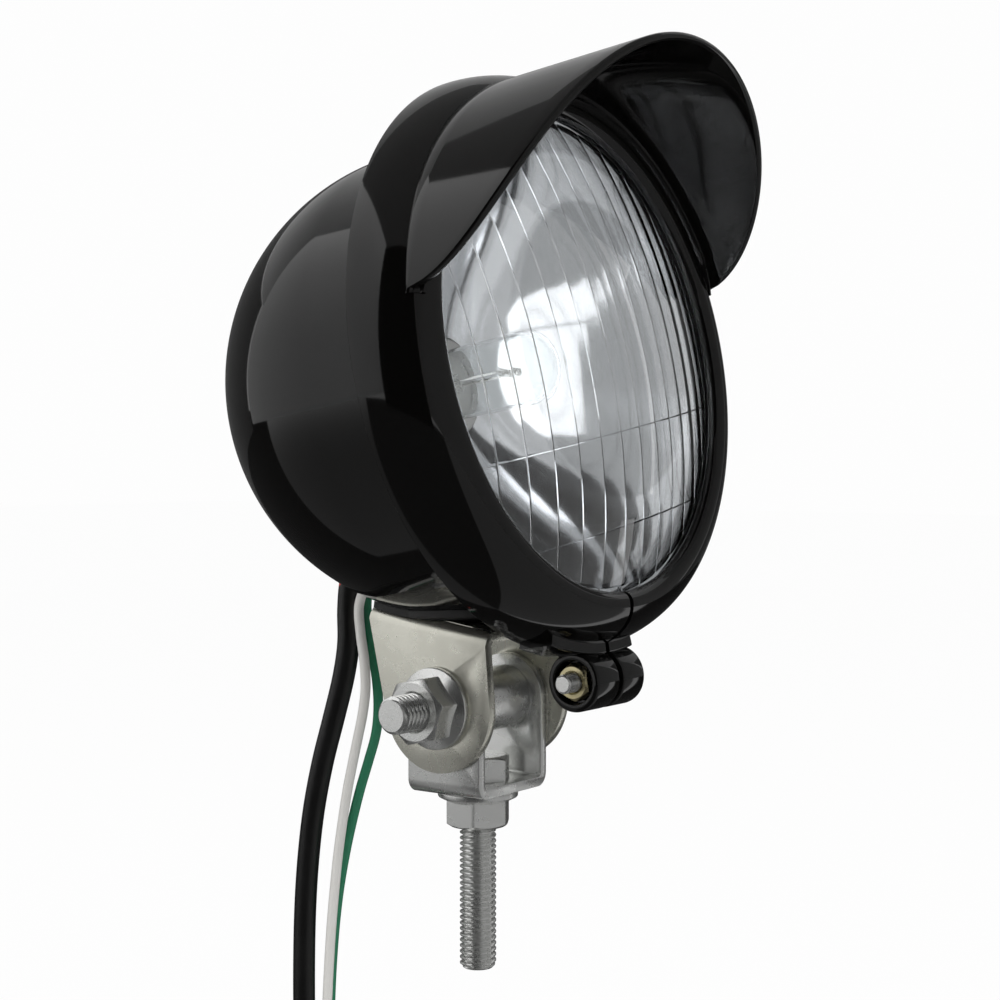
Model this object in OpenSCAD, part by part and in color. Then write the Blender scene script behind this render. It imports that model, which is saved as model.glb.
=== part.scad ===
// Round motorcycle headlight with a peak, on a tilting bracket with a threaded stud.
// Millimetres. +X is across the lamp along the pivot bolt, -Y is the way the lamp shines, +Z is up.
// The origin is on the stud's axis, at the top of its free thread, just below the nut that clamps
// the bracket.

/* [Stud and nuts] */
// Thread diameter of the stud and the pivot bolt
thread_d = 8; // [6:0.5:10]
// Free threaded length of the stud below its nut
stud_free = 31; // [20:1:60]
// Plain length between the free thread and the nut
runout = 0.3; // [0.2:0.1:2]
// Height of the thread's ridges, by which the bolt is thinner inside its nut and bracket
ridge_h = 0.4; // [0.3:0.1:0.6]
// Width across the flats of the large heads and nuts
hex_af = 13; // [11:0.5:15]
// Height of a large bolt head
head_h = 5.4; // [4:0.2:5.6]
// Height of a flange nut
nut_h = 8; // [6:0.5:9]
// Diameter of a flange nut's flange
nut_flange_d = 17.6; // [16:0.2:20]
// Thickness of a flange nut's flange at its rim
nut_flange_t = 1.6; // [1:0.2:2.4]

/* [Lower bracket] */
// Thickness of the strap that both brackets are folded from
strap_t = 2.2; // [1.6:0.1:2.4]
// Width of the lower bracket over its arms
lower_w = 25; // [24:0.5:36]
// Depth of the lower bracket from front to back
lower_depth = 19.2; // [18:0.4:21]
// Height of the pivot above the underside of the lower bracket
pivot_h = 19.3; // [19:0.1:24]
// Outside radius of the folds
fold_r = 3; // [2.6:0.1:3.4]
// Outside diameter of the spacer tube
spacer_d = 14; // [12:0.5:14]

/* [Upper bracket] */
// Height of the top face above the pivot
web_h = 18.4; // [17.6:0.1:24]
// Reach of the top face in front of the pivot
web_front = 10.8; // [10:0.1:14]
// Reach of the top face behind the pivot
web_back = 20.8; // [16:0.1:22]
// Radius of the round ends of the side plates
eye_r = 13.9; // [12:0.1:16]
// Slope of the top face, front down
bracket_pitch = 8; // [0:1:12]
// Length of the pivot bolt past the side plate on its nut side
pivot_tail = 15.2; // [10:0.2:20]

/* [Neck] */
// Depth of the dish that the bucket sits in
dish_depth = 3.05; // [1:0.05:3.1]
// Thickness of the rubber pad in the dish
pad_t = 1.5; // [1:0.1:2]
// Radius of the rubber pad
pad_r = 15.5; // [10:0.5:16]
// Distance of the neck bolt behind the pivot
neck_back = 5; // [3:0.5:8]
// Thread diameter of the neck bolt
neck_d = 6; // [5:0.5:6.5]
// Width across the flats of the neck bolt and nut
neck_af = 10; // [9:0.5:11]
// Height of the neck nut
neck_nut_h = 4.6; // [3:0.2:4.8]
// Radius of the plate under the neck bolt's head
neck_plate_r = 9; // [7:0.5:11]
// Height of that plate's flat top above the inside of the bucket
neck_plate_h = 6; // [5:0.5:9]

/* [Bucket] */
// Width from the bucket's wall out to the rim's edge
flange_w = 10.3; // [8:0.1:13]
// Distance of the bucket's centre behind the pivot
dome_back = 14.2; // [12:0.2:16]
// Thickness of the bucket's wall
shell_t = 1.2; // [0.8:0.1:1.6]
// Distance from the bucket's centre to the plane where the glass meets the rim
face = 33; // [31:0.5:38]
// Slope of the lamp, nose up
lamp_pitch = 9.3; // [0:0.1:16]
// Radius of the cove between the bucket's wall and its flange
cove_r = 3; // [2:0.5:4]

/* [Rim] */
// Radius of the opening in the rim, which sets the size of the lamp
lip_r = 50; // [42:0.5:70]
// Width of the rolled lip inside the rim's crest
lip_w = 2.4; // [2:0.1:3]
// Width of the rim's rounded face, from its crest out to its back edge
rim_bulge = 9; // [8:0.1:11]
// Distance of the rim's back edge behind the glass plane
rim_depth = 12.5; // [11:0.1:15]
// Height of the rim's crest before the glass plane
crest_h = 3; // [2.6:0.1:3.6]
// Thickness of the rim's sheet
rim_t = 1.4; // [1:0.1:1.6]
// Width of the inward fold at the rim's back edge
rim_hem = 3; // [2.4:0.1:3.6]
// Width of the split in the rim
split_w = 1.4; // [1:0.1:2.4]

/* [Rim clamp] */
// Radius of the clamp barrels
barrel_r = 6.2; // [5.8:0.1:7]
// Distance of the clamp screw outside the rim's edge
barrel_drop = 5.8; // [5:0.1:7]
// Distance of the clamp screw behind the glass plane
barrel_back = 8; // [6:0.1:9]
// Half the length of the two barrels together
barrel_half = 9.2; // [8:0.2:12]
// Thickness of the tab that joins the barrels to the rim
tab_t = 0.9; // [0.6:0.1:1.4]
// How far the tab follows the rim on the nut's side
tab_long = 20; // [12:0.5:24]
// Width of the tab, from the rim's back edge forward
tab_w = 8.1; // [6:0.1:9]
// Thread diameter of the clamp screw
screw_d = 4; // [3:0.5:5]
// Width across the flats of the clamp nut
screw_nut_af = 7; // [6:0.5:8]
// Height of the clamp nut
screw_nut_h = 3.2; // [2.4:0.2:4]
// Diameter of the clamp screw's head
screw_head_d = 7; // [6:0.2:8]
// Height of the clamp screw's head
screw_head_h = 2.6; // [2:0.2:3.6]
// Length of the clamp screw past its nut
screw_tail = 4; // [1:0.5:6]

/* [Visor] */
// Length of the visor before the glass plane, at its top
visor_len = 37; // [25:1:50]
// Distance of the visor's wall inside the rim's edge
visor_inset = 3.2; // [2.4:0.1:4]
// How far the visor narrows from the rim to its front edge
visor_taper = 1.2; // [-3:0.1:3]
// Thickness of the visor
visor_t = 1.8; // [1.4:0.1:2.4]
// Height of the visor's tips above the lamp's axis
visor_tip = 13.5; // [8:0.5:24]
// Power of the curve from the tips to the top
visor_power = 0.55; // [0.4:0.05:1]
// Turn of the visor about the lamp's axis
visor_turn = 4; // [-10:1:10]
// Thickness of the visor's flange
visor_flange_t = 1.4; // [1:0.1:1.8]
// Width of the visor's flange on the rim
visor_flange_w = 4.8; // [3:0.1:5.2]

/* [Glass and reflector] */
// Rise of the glass at its centre
glass_rise = 10; // [6:0.5:14]
// Thickness of the glass
glass_t = 3; // [2.6:0.1:3.4]
// Width of the glass's flat edge behind the lip
glass_edge_w = 3.5; // [2.4:0.1:4]
// Thickness of the flat edge of the glass
glass_edge_t = 2.6; // [2:0.1:3]
// Width of one upright flute
flute_w = 7.2; // [5:0.1:10]
// Depth of a flute
flute_d = 0.5; // [0.3:0.05:0.8]
// Turn of the glass about the lamp's axis
glass_turn = 9; // [-10:1:10]
// Distance of the reflector's mouth inside the rim's opening
bowl_set = 1.6; // [1.2:0.1:4]
// Depth of the reflector from its mouth to the bulb's hole
bowl_depth = 32.7; // [26:0.1:36]
// Wall of the reflector
bowl_t = 1; // [0.8:0.1:1.2]
// Radius of the hole for the bulb
bulb_hole_r = 11; // [10:0.5:12]

/* [Bulb] */
// Radius of the bulb's glass
bulb_r = 8; // [6:0.5:9]
// Length of the bulb's glass
bulb_len = 27; // [20:1:27]
// Radius of the bulb's flange
bulb_flange_r = 15; // [14:0.5:17]
// Width of the plug behind the bulb
socket_w = 26; // [20:1:28]
// Height of the plug behind the bulb
socket_h = 20; // [16:1:22]
// Depth of the plug behind the bulb
socket_d = 14; // [10:1:16]

/* [Leads] */
// Place of the grommet, turned back from below the bucket's centre
grommet_turn = 43; // [40:1:50]
// Radius of the grommet's flange
grommet_r = 6.5; // [6.2:0.1:8]
// Thickness of the grommet's flange
grommet_t = 1.6; // [1.2:0.1:2]
// Diameter of the black sleeve
sleeve_d = 5.2; // [4.6:0.1:5.4]
// Diameter of a single wire
wire_d = 2.3; // [1.8:0.1:2.4]

/* [Hidden] */
$fn = 96;
hex_fn = 6;
tube_sides = 8;
// Clearances: a shaft in its bore, a thread in its nut, flat faces side by side, and seated pieces
run_gap = 0.05;
thread_gap = 0.02;
side_gap = 0.1;
seat_gap = 0.05;
// Overshoot of a cutting solid past the face that it cuts
over = 1;
// Share of a head's or nut's width that its chamfered face keeps
chamfer_share = 0.93;
// Height of the cone between a nut's flange and its hexagon
flange_cone_h = 1;

thread_r = thread_d / 2;
bore_r = thread_r + run_gap;
shank_r = thread_r - ridge_h;
lower_under_z = runout + nut_h;
pivot_z = lower_under_z + pivot_h;
arm_r = lower_depth / 2;
upper_w = lower_w + 2 * (side_gap + strap_t);
spacer_len = lower_w - 2 * strap_t;

crest_r = lip_r + lip_w;
rim_r = crest_r + rim_bulge;
dome_r = rim_r - flange_w;
barrel_out = rim_r + barrel_drop;
visor_r = rim_r - visor_inset;
visor_front_r = visor_r - visor_taper;
glass_r = lip_r + glass_edge_w;
bowl_r = lip_r - bowl_set;

dish_r = dome_r + pad_t + 2 * seat_gap;
dome_up = web_h - dish_depth + dish_r;
inner_r = dome_r - shell_t;
neck_r = neck_d / 2;
neck_head_h = 4;
neck_head_up = dome_up - sqrt(inner_r * inner_r - pow(dome_back - neck_back, 2)) + neck_plate_h - 2;
under_dish = dome_up - sqrt(pow(dish_r + strap_t, 2) - pow(dome_back - neck_back, 2));
neck_nut_top = under_dish - 0.7;
neck_tip_up = neck_nut_top - neck_nut_h - 0.4;

rim_back = face - rim_depth;
flange_front = rim_back + rim_t + seat_gap + shell_t;
flange_back = flange_front - shell_t;
bucket_flange_r = rim_r - rim_t - 0.3;
lip_drop = 2.4;
// Distance of the glass's swell outside the lip, and of the gasket's lip inside it
lip_gap = 1;
clip_count = 4;
clip_w = 9;
clip_t = 0.8;

glass_front = face - 0.85;
glass_back = glass_front - glass_edge_t - seat_gap;
glass_swell_r = lip_r + lip_gap;
glass_sphere_r = (pow(glass_swell_r, 2) + pow(glass_rise, 2)) / (2 * glass_rise);
glass_centre = glass_front + glass_rise - glass_sphere_r;
bowl_lip = glass_back - seat_gap;
bowl_neck = bowl_lip - bowl_depth;
neck_tube_len = 5;
bulb_collar = 6;
bulb_seat = bowl_neck - neck_tube_len;
gasket_r = glass_r + 1.5;
gasket_t = 0.8;

grommet_face = grommet_t;
lead_start = 2.5;

// Places along the leads, chosen by hand, from the grommet down. Each list starts after the
// straight stretch out of the grommet.
SLEEVE_ROUTE = [
    [0, 37.2, 45.5], [0, 37.2, 38], [0, 38.7, 30], [0, 41.8, 20], [0, 45.2, 9.5], [0, 48, -2],
    [0, 49.8, -14], [0, 50.8, -26], [0, 51.2, -39], [0, 51.2, -52], [0, 51, -65], [0, 51, -78], [0, 51, -91]
];
RED_TAIL = [
    [0, 51, -91], [0, 51, -97], [0, 51.4, -103], [0, 52.2, -109], [0, 53.2, -115], [0, 54.2, -121]
];
WHITE_ROUTE = [
    [-0.4, 33.7, 45.8], [-0.2, 33.3, 40], [0.1, 32.5, 34], [0.4, 32.4, 28], [0.7, 33.5, 22], [0.9, 35.2, 16],
    [1, 37, 9.5], [1, 38.6, 3], [1, 40, -4], [1, 41.4, -12], [1, 42.6, -21], [1, 43.6, -30], [1, 44.4, -40],
    [1, 45, -50], [1, 45.3, -60], [1, 45.4, -70], [1, 45.4, -80], [1, 45, -89], [1, 44, -98], [1, 43, -107],
    [1, 42.4, -116]
];
GREEN_ROUTE = [
    [3, 34.2, 46], [3.1, 33.5, 41], [3.2, 32.5, 35], [3.4, 31.5, 29], [3.5, 31.2, 23], [3.6, 32, 17],
    [3.7, 34.3, 10.5], [3.8, 36.8, 4], [4, 39.2, -3], [4.2, 41.6, -11], [4.4, 43.8, -20], [4.6, 45.4, -29],
    [4.8, 46.6, -39], [4.9, 47.3, -49], [5, 47.7, -59], [5, 48, -69], [5, 48, -79], [5.1, 48, -88],
    [5.4, 48.2, -97], [5.8, 48.6, -107], [6.2, 49, -117]
];

// Places of the wires in the grommet's face: across the lamp, then forward along the bucket
SLEEVE_HOLE = [-0.3, -1.3];
WHITE_HOLE = [-0.6, 3.1];
GREEN_HOLE = [2.9, 1.9];

// A point turned about X
function turn_x(a, p) = [p[0], p[1] * cos(a) - p[2] * sin(a), p[1] * sin(a) + p[2] * cos(a)];
// From the upper bracket's frame, whose origin is the pivot
function from_bracket(p) = [0, 0, pivot_z] + turn_x(bracket_pitch, p);
// From the lamp's frame, whose origin is the bucket's centre and whose Z is the way it shines
function from_lamp(p) = from_bracket([0, dome_back, dome_up]) + turn_x(90 - lamp_pitch, p);
// From the grommet's frame, on the bucket's surface with Z outwards
function from_grommet(p) = from_lamp(turn_x(90 + grommet_turn, p + [0, 0, dome_r]));
// The straight stretch of a lead out of the grommet
function lead_out(hole) = [
    from_grommet([hole[0], hole[1], grommet_face]),
    from_grommet([hole[0], hole[1], grommet_face + lead_start])
];

// Places on the rim's outer face, grown by a distance: 0 degrees is its back edge, 90 its crest
function rim_face(a, grow) = [
    crest_r + (rim_bulge + grow) * cos(a),
    rim_back + (rim_depth + crest_h + grow) * sin(a)
];
// Height of the rim's outer face at a radius, grown by a distance
function rim_height(r, grow) =
    rim_back + (rim_depth + crest_h + grow) * sqrt(1 - pow((r - crest_r) / (rim_bulge + grow), 2));
// Places on the rolled lip inside the crest
function rim_lip(a, grow) = [
    crest_r - (crest_r - lip_r + grow) * sin(a),
    face + crest_h - lip_drop + (lip_drop + grow) * cos(a)
];
// Height of the reflector's bright face at a radius
function bowl_height(r) =
    bowl_lip - bowl_depth * (bowl_r * bowl_r - r * r) / (bowl_r * bowl_r - bulb_hole_r * bulb_hole_r);
// Forward reach of the visor at a height above the lamp's axis
function visor_reach(h) =
    face + visor_len * pow(max(0, (h - visor_tip) / (visor_front_r - visor_tip)), visor_power);
// Depth of the fluted face at a distance across the glass
function flute_rise(x) = flute_d * (1 - pow(2 * abs(x / flute_w - round(x / flute_w)), 2));

module on_pivot() {
    translate([0, 0, pivot_z]) rotate([bracket_pitch, 0, 0]) children();
}

module on_lamp() {
    on_pivot() translate([0, dome_back, dome_up]) rotate([90 - lamp_pitch - bracket_pitch, 0, 0]) children();
}

module on_grommet() {
    on_lamp() rotate([90 + grommet_turn, 0, 0]) translate([0, 0, dome_r]) children();
}

module on_neck() {
    on_pivot() translate([0, neck_back, 0]) children();
}

module on_clamp() {
    on_lamp() translate([0, -barrel_out, face - barrel_back]) rotate([0, 90, 0]) children();
}

// A hexagon across its flats, with its top face chamfered
module hexagon(af, h) {
    corner_r = af / sqrt(3);
    intersection() {
        cylinder(h = h, r = corner_r, $fn = hex_fn);
        union() {
            cylinder(h = h - (1 - chamfer_share) * af, r = corner_r + over);
            translate([0, 0, h - (1 - chamfer_share) * af])
                cylinder(h = (1 - chamfer_share) * af, r1 = corner_r + 0.01, r2 = af / 2 * chamfer_share);
        }
    }
}

// A flange nut standing on its flange, for a bolt of the given radius
module flange_nut(bolt_r) {
    difference() {
        union() {
            cylinder(h = nut_flange_t, d = nut_flange_d);
            translate([0, 0, nut_flange_t])
                cylinder(h = flange_cone_h, d1 = nut_flange_d, d2 = hex_af);
            hexagon(hex_af, nut_h);
        }
        translate([0, 0, -over]) cylinder(h = nut_h + 2 * over, r = bolt_r + thread_gap);
    }
}

// A strap folded to a U that opens upwards: across X, long in Y, its outside base at z = 0
module folded_strap(w, h, long) {
    inner_fold = fold_r - strap_t;
    rotate([90, 0, 0]) translate([0, 0, -long / 2]) linear_extrude(long) difference() {
        fold_outline(w / 2, h, fold_r);
        translate([0, strap_t]) fold_outline(w / 2 - strap_t, h, inner_fold);
    }
}

// Half-width w, height h, with its two lower corners rounded
module fold_outline(w, h, r) {
    translate([-w, r]) square([2 * w, h - r]);
    translate([-w + r, 0]) square([2 * (w - r), r + 0.01]);
    for (side = [-1, 1]) translate([side * (w - r), r]) circle(r);
}

module mounting_bolt() {
    color("silver") {
        translate([0, 0, lower_under_z + strap_t]) hexagon(hex_af, head_h);
        translate([0, 0, -stud_free]) cylinder(h = stud_free, r = thread_r);
        translate([0, 0, -over]) cylinder(h = lower_under_z + strap_t + 2 * over, r = shank_r);
    }
}

module mounting_nut() {
    color("gainsboro") translate([0, 0, lower_under_z]) mirror([0, 0, 1]) flange_nut(shank_r);
}

module lower_bracket() {
    color("gainsboro") difference() {
        intersection() {
            translate([0, 0, lower_under_z]) folded_strap(lower_w, pivot_h + arm_r, lower_depth);
            union() {
                translate([-lower_w, -arm_r, 0]) cube([2 * lower_w, lower_depth, pivot_z]);
                across_pivot(arm_r, 2 * lower_w);
            }
        }
        cylinder(h = pivot_z, r = bore_r);
        across_pivot(bore_r, 2 * lower_w);
    }
}

// A round bar about the pivot's axis, centred across the lamp
module across_pivot(r, long) {
    translate([-long / 2, 0, pivot_z]) rotate([0, 90, 0]) cylinder(h = long, r = r);
}

module pivot_bolt() {
    color("silver") translate([0, 0, pivot_z]) {
        translate([upper_w / 2, 0, 0]) rotate([0, 90, 0]) hexagon(hex_af, head_h);
        translate([-upper_w / 2 - pivot_tail, 0, 0]) rotate([0, 90, 0])
            cylinder(h = upper_w + pivot_tail + over / 2, r = thread_r);
    }
}

module pivot_nut() {
    color("gainsboro") translate([-upper_w / 2, 0, pivot_z]) rotate([0, -90, 0]) flange_nut(thread_r);
}

module spacer_tube() {
    color("gainsboro") difference() {
        across_pivot(spacer_d / 2, spacer_len);
        across_pivot(bore_r, spacer_len + over);
    }
}

// The side plates' outline, seen along X: an eye round the pivot under a straight top
module plate_outline() {
    shoulder = web_h - fold_r;
    circle(eye_r);
    polygon([
        eye_tangent([-web_front, shoulder], -1),
        [-web_front, shoulder], [-web_front, web_h + over],
        [web_back, web_h + over], [web_back, shoulder],
        eye_tangent([web_back, shoulder], 1),
        [0, 0]
    ]);
}

// Where a line from a point touches the eye, on the chosen side
function eye_tangent(p, side) =
    let (a = atan2(p[1], p[0]) - side * acos(eye_r / norm(p))) [eye_r * cos(a), eye_r * sin(a)];

module upper_bracket() {
    color("lightgray") on_pivot() difference() {
        union() {
            intersection() {
                translate([0, (web_back - web_front) / 2, web_h]) mirror([0, 0, 1])
                    folded_strap(upper_w, web_h + eye_r, 4 * eye_r);
                translate([-upper_w, 0, 0]) rotate([90, 0, 90]) linear_extrude(2 * upper_w) plate_outline();
            }
            // The underside of the dish
            intersection() {
                translate([0, dome_back, dome_up]) sphere(dish_r + strap_t);
                translate([-upper_w / 2 + strap_t, -web_front, web_h - dish_depth - strap_t - over])
                    cube([upper_w - 2 * strap_t, web_front + web_back, dish_depth + strap_t + over]);
            }
        }
        translate([0, dome_back, dome_up]) sphere(dish_r);
        rotate([0, 90, 0]) cylinder(h = 2 * upper_w, r = bore_r, center = true);
        translate([0, neck_back, 0]) cylinder(h = web_h + over, r = neck_r + side_gap);
    }
}

module rubber_pad() {
    color("dimgray") difference() {
        intersection() {
            on_lamp() bullet(dish_r - seat_gap, rim_back);
            on_neck() cylinder(h = dome_up, r = pad_r);
        }
        on_lamp() bullet(dome_r + seat_gap, rim_back + over);
        on_neck() cylinder(h = dome_up, r = neck_r + side_gap);
    }
}

module neck_bolt() {
    color("silver") on_neck() {
        translate([0, 0, neck_head_up]) hexagon(neck_af, neck_head_h);
        translate([0, 0, neck_tip_up]) cylinder(h = neck_head_up - neck_tip_up + over / 2, r = neck_r);
    }
}

module neck_plate() {
    color("silver") difference() {
        intersection() {
            on_lamp() bullet(inner_r - seat_gap, rim_back);
            on_neck() cylinder(h = neck_head_up, r = neck_plate_r);
        }
        on_neck() cylinder(h = dome_up, r = neck_r + side_gap);
    }
}

module neck_nut() {
    color("silver") on_neck() translate([0, 0, neck_nut_top]) mirror([0, 0, 1]) difference() {
        hexagon(neck_af, neck_nut_h);
        translate([0, 0, -over]) cylinder(h = neck_nut_h + 2 * over, r = neck_r + thread_gap);
    }
}

// A cylinder closed behind by half a ball
module bullet(r, h) {
    cylinder(h = h, r = r);
    intersection() {
        sphere(r);
        translate([-r - over, -r - over, -r - over]) cube([2 * (r + over), 2 * (r + over), r + over]);
    }
}

module bucket() {
    wall_top = flange_back - cove_r;
    color([0.05, 0.05, 0.06]) difference() {
        union() {
            on_lamp() difference() {
                bullet(dome_r, wall_top);
                bullet(inner_r, wall_top + over);
            }
            // The cove and the flange that the rim closes on
            on_lamp() rotate_extrude() polygon(concat(
                [for (a = [180:-15:90]) [dome_r + cove_r + cove_r * cos(a), wall_top + cove_r * sin(a)]],
                [[bucket_flange_r, flange_back], [bucket_flange_r, flange_front]],
                [for (a = [90:15:180])
                    [dome_r + cove_r + (cove_r + shell_t) * cos(a), wall_top + (cove_r + shell_t) * sin(a)]]
            ));
        }
        on_neck() cylinder(h = dome_up, r = neck_r + side_gap);
        on_grommet() cylinder(h = 4 * shell_t, r = grommet_r - 1.5 + side_gap, center = true);
    }
}

// The space inside the rim's outer face, shrunk by a distance
module rim_core(shrink) {
    rotate_extrude() polygon(concat(
        [[0, rim_back - over], [rim_r - shrink, rim_back - over]],
        [for (a = [0:10:90]) rim_face(a, -shrink)],
        [[0, face + crest_h - shrink]]
    ));
}

module rim() {
    rim_inner = rim_r - rim_t;
    split_back = min(rim_back, face - barrel_back - barrel_r) - over;
    color([0.05, 0.05, 0.06]) difference() {
        union() {
            on_lamp() rotate_extrude() polygon(concat(
                [[rim_r - rim_hem, rim_back + rim_t], [rim_r - rim_hem, rim_back], [rim_r - 0.4, rim_back]],
                [for (a = [2:8:90]) rim_face(a, 0)],
                [for (a = [15:15:90]) rim_lip(a, 0)],
                [[lip_r, face], [lip_r + rim_t, face]],
                [for (a = [75:-25:0]) rim_lip(a, -rim_t)],
                [for (a = [82:-10:12]) rim_face(a, -rim_t)],
                [[rim_inner - 0.05, rim_back + rim_t]]
            ));
            on_clamp() cylinder(h = 2 * barrel_half, r = barrel_r, center = true);
            clamp_tab();
        }
        // The split, the screw's hole and the two recesses
        on_lamp() translate([-split_w / 2, -barrel_out - 2 * barrel_r, split_back])
            cube([split_w, 2 * barrel_r + barrel_out - lip_r + over, face + crest_h + over - split_back]);
        on_clamp() {
            cylinder(h = 3 * barrel_half, r = screw_d / 2 + side_gap, center = true);
            translate([0, 0, barrel_half - screw_head_h - 0.4]) cylinder(h = 2 * screw_head_h, d = screw_head_d + 0.6);
            translate([0, 0, -barrel_half - screw_nut_h]) cylinder(h = 2 * screw_nut_h - 0.2, d = screw_nut_af * 1.3);
        }
    }
}

// The tab under the rim that carries the barrels
module clamp_tab() {
    on_lamp() difference() {
        intersection() {
            translate([0, 0, rim_back]) cylinder(h = tab_w, r = rim_r + tab_t);
            translate([-tab_long, -2 * rim_r, rim_back])
                cube([tab_long + barrel_half + tab_t / 2, rim_r + rim_bulge, tab_w]);
        }
        rim_core(rim_t / 2);
    }
}

module clamp_screw() {
    color("silver") on_clamp() {
        translate([0, 0, barrel_half - screw_head_h - 0.4]) cylinder(h = screw_head_h, d = screw_head_d);
        translate([0, 0, -barrel_half - screw_tail + 0.2])
            cylinder(h = 2 * barrel_half + screw_tail - screw_head_h, r = screw_d / 2);
    }
}

module clamp_nut() {
    color("khaki") on_clamp() translate([0, 0, -barrel_half + screw_nut_h - 0.2]) mirror([0, 0, 1]) difference() {
        hexagon(screw_nut_af, screw_nut_h);
        translate([0, 0, -over]) cylinder(h = screw_nut_h + 2 * over, r = screw_d / 2 + thread_gap);
    }
}

// The visor's section: a flange that follows the rim, and the wall that stands on it
module visor_flange() {
    steps = 6;
    rotate_extrude() polygon(concat(
        [for (k = [0:steps]) let (r = visor_r - 0.4 - visor_flange_w * k / steps) [r, rim_height(r, side_gap)]],
        [for (k = [steps:-1:0]) let (r = visor_r - 0.4 - visor_flange_w * k / steps)
            [r, rim_height(r, side_gap + visor_flange_t)]]
    ));
}

module visor_wall() {
    top = face + visor_len;
    inner = visor_r - visor_t;
    rotate_extrude() polygon([
        [inner, rim_height(inner, side_gap)], [visor_r, rim_height(visor_r, side_gap)],
        [visor_front_r, top], [visor_front_r - visor_t, top]
    ]);
}

module visor() {
    steps = 18;
    tip_low = visor_tip - 3;
    big = 2 * rim_r;
    color([0.05, 0.05, 0.06]) on_lamp() rotate([0, 0, visor_turn]) {
        intersection() {
            visor_flange();
            translate([-rim_r, tip_low, 0]) cube([big, rim_r, big]);
        }
        intersection() {
            visor_wall();
            rotate([0, -90, 0]) translate([0, 0, -rim_r]) linear_extrude(big) polygon(concat(
                [[0, rim_r], [0, visor_tip]],
                [for (k = [0:steps]) let (q = pow(k / steps, 2), h = visor_tip + q * (visor_front_r - visor_tip))
                    [visor_reach(h), h]],
                [[face + visor_len, rim_r]]
            ));
        }
    }
}

module lens() {
    rear = glass_sphere_r - glass_t;
    count = ceil(glass_r / flute_w) + 1;
    color([0.85, 0.9, 0.92, 0.4]) on_lamp() rotate([0, 0, glass_turn]) difference() {
        union() {
            intersection() {
                translate([0, 0, glass_centre]) sphere(glass_sphere_r, $fn = 180);
                translate([0, 0, glass_back]) cylinder(h = 2 * glass_rise + glass_t, r = glass_swell_r);
            }
            translate([0, 0, glass_back]) cylinder(h = glass_edge_t, r = glass_r);
        }
        // The fluted rear face, turned about a line across the lamp
        intersection() {
            translate([0, 0, glass_centre]) rotate([0, 90, 0]) rotate_extrude() polygon(concat(
                [[0, -glass_r]],
                [for (x = [-count * flute_w:flute_w / 4:count * flute_w])
                    if (abs(x) < glass_r) [sqrt(rear * rear - x * x) + flute_rise(x) - flute_d, x]],
                [[0, glass_r]]
            ));
            translate([0, 0, glass_back - over]) cylinder(h = 2 * glass_rise, r = lip_r - 0.4);
        }
    }
}

module lens_gasket() {
    front = face - seat_gap;
    back = bowl_lip - bowl_t - seat_gap;
    color([0.1, 0.1, 0.1]) on_lamp() rotate_extrude() polygon([
        [lip_r + lip_gap, front], [gasket_r, front], [gasket_r, back - gasket_t], [glass_r - 2, back - gasket_t],
        [glass_r - 2, back], [glass_r + seat_gap, back], [glass_r + seat_gap, glass_front + seat_gap],
        [lip_r + lip_gap, glass_front + seat_gap]
    ]);
}

// Spring clips between the gasket and the inside of the rim
module lens_clips() {
    top = bowl_lip - bowl_t - gasket_t - 3 * seat_gap;
    hook_turn = 14;
    hook = rim_face(hook_turn, -rim_t - side_gap);
    color("silver") on_lamp() for (k = [0:clip_count - 1]) rotate([0, 0, 45 + k * 360 / clip_count])
        translate([0, clip_w / 2, 0]) rotate([90, 0, 0]) linear_extrude(clip_w) polygon([
            [glass_r - 1.5, top], [gasket_r + 0.4, top], [hook[0] - 0.6, hook[1] + 0.6], [hook[0] - 0.2, hook[1]],
            [hook[0] - clip_t - 0.4, hook[1]], [gasket_r, top - clip_t], [glass_r - 1.5, top - clip_t]
        ]);
}

module reflector() {
    steps = 16;
    reach = bowl_r - bulb_hole_r;
    color([0.8, 0.8, 0.82]) on_lamp() rotate_extrude() polygon(concat(
        [[glass_r, bowl_lip - bowl_t], [glass_r, bowl_lip]],
        [for (k = [0:steps]) let (r = bowl_r - reach * k / steps) [r, bowl_height(r)]],
        [[bulb_hole_r, bulb_seat], [bulb_hole_r + bowl_t, bulb_seat], [bulb_hole_r + bowl_t, bowl_neck - bowl_t]],
        [for (k = [steps - 1:-1:1]) let (r = bowl_r - reach * k / steps) [r + 0.4, bowl_height(r) - bowl_t]],
        [[bowl_r + 0.8, bowl_lip - bowl_t]]
    ));
}

module bulb() {
    start = bulb_seat + bulb_collar;
    color([0.9, 0.92, 0.95, 0.5]) on_lamp() translate([0, 0, start]) {
        cylinder(h = bulb_len - bulb_r, r = bulb_r);
        translate([0, 0, bulb_len - bulb_r]) sphere(bulb_r);
    }
}

module bulb_base() {
    color("silver") on_lamp() {
        translate([0, 0, bulb_seat - 1 - seat_gap]) cylinder(h = 1, r = bulb_flange_r);
        translate([0, 0, bulb_seat - seat_gap]) cylinder(h = bulb_collar - seat_gap, r = bulb_hole_r - 0.3);
    }
}

// A wire spring, bowed over the back of the bulb's flange
module bulb_clip() {
    wire = 0.6;
    at = bulb_seat - 1 - 2 * seat_gap - wire;
    ring = bulb_flange_r - 1.6;
    color("silver") on_lamp() translate([0, 0, at]) {
        rotate([0, 0, 20]) rotate_extrude(angle = 320) translate([ring, 0]) circle(wire, $fn = 24);
    }
}

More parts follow.
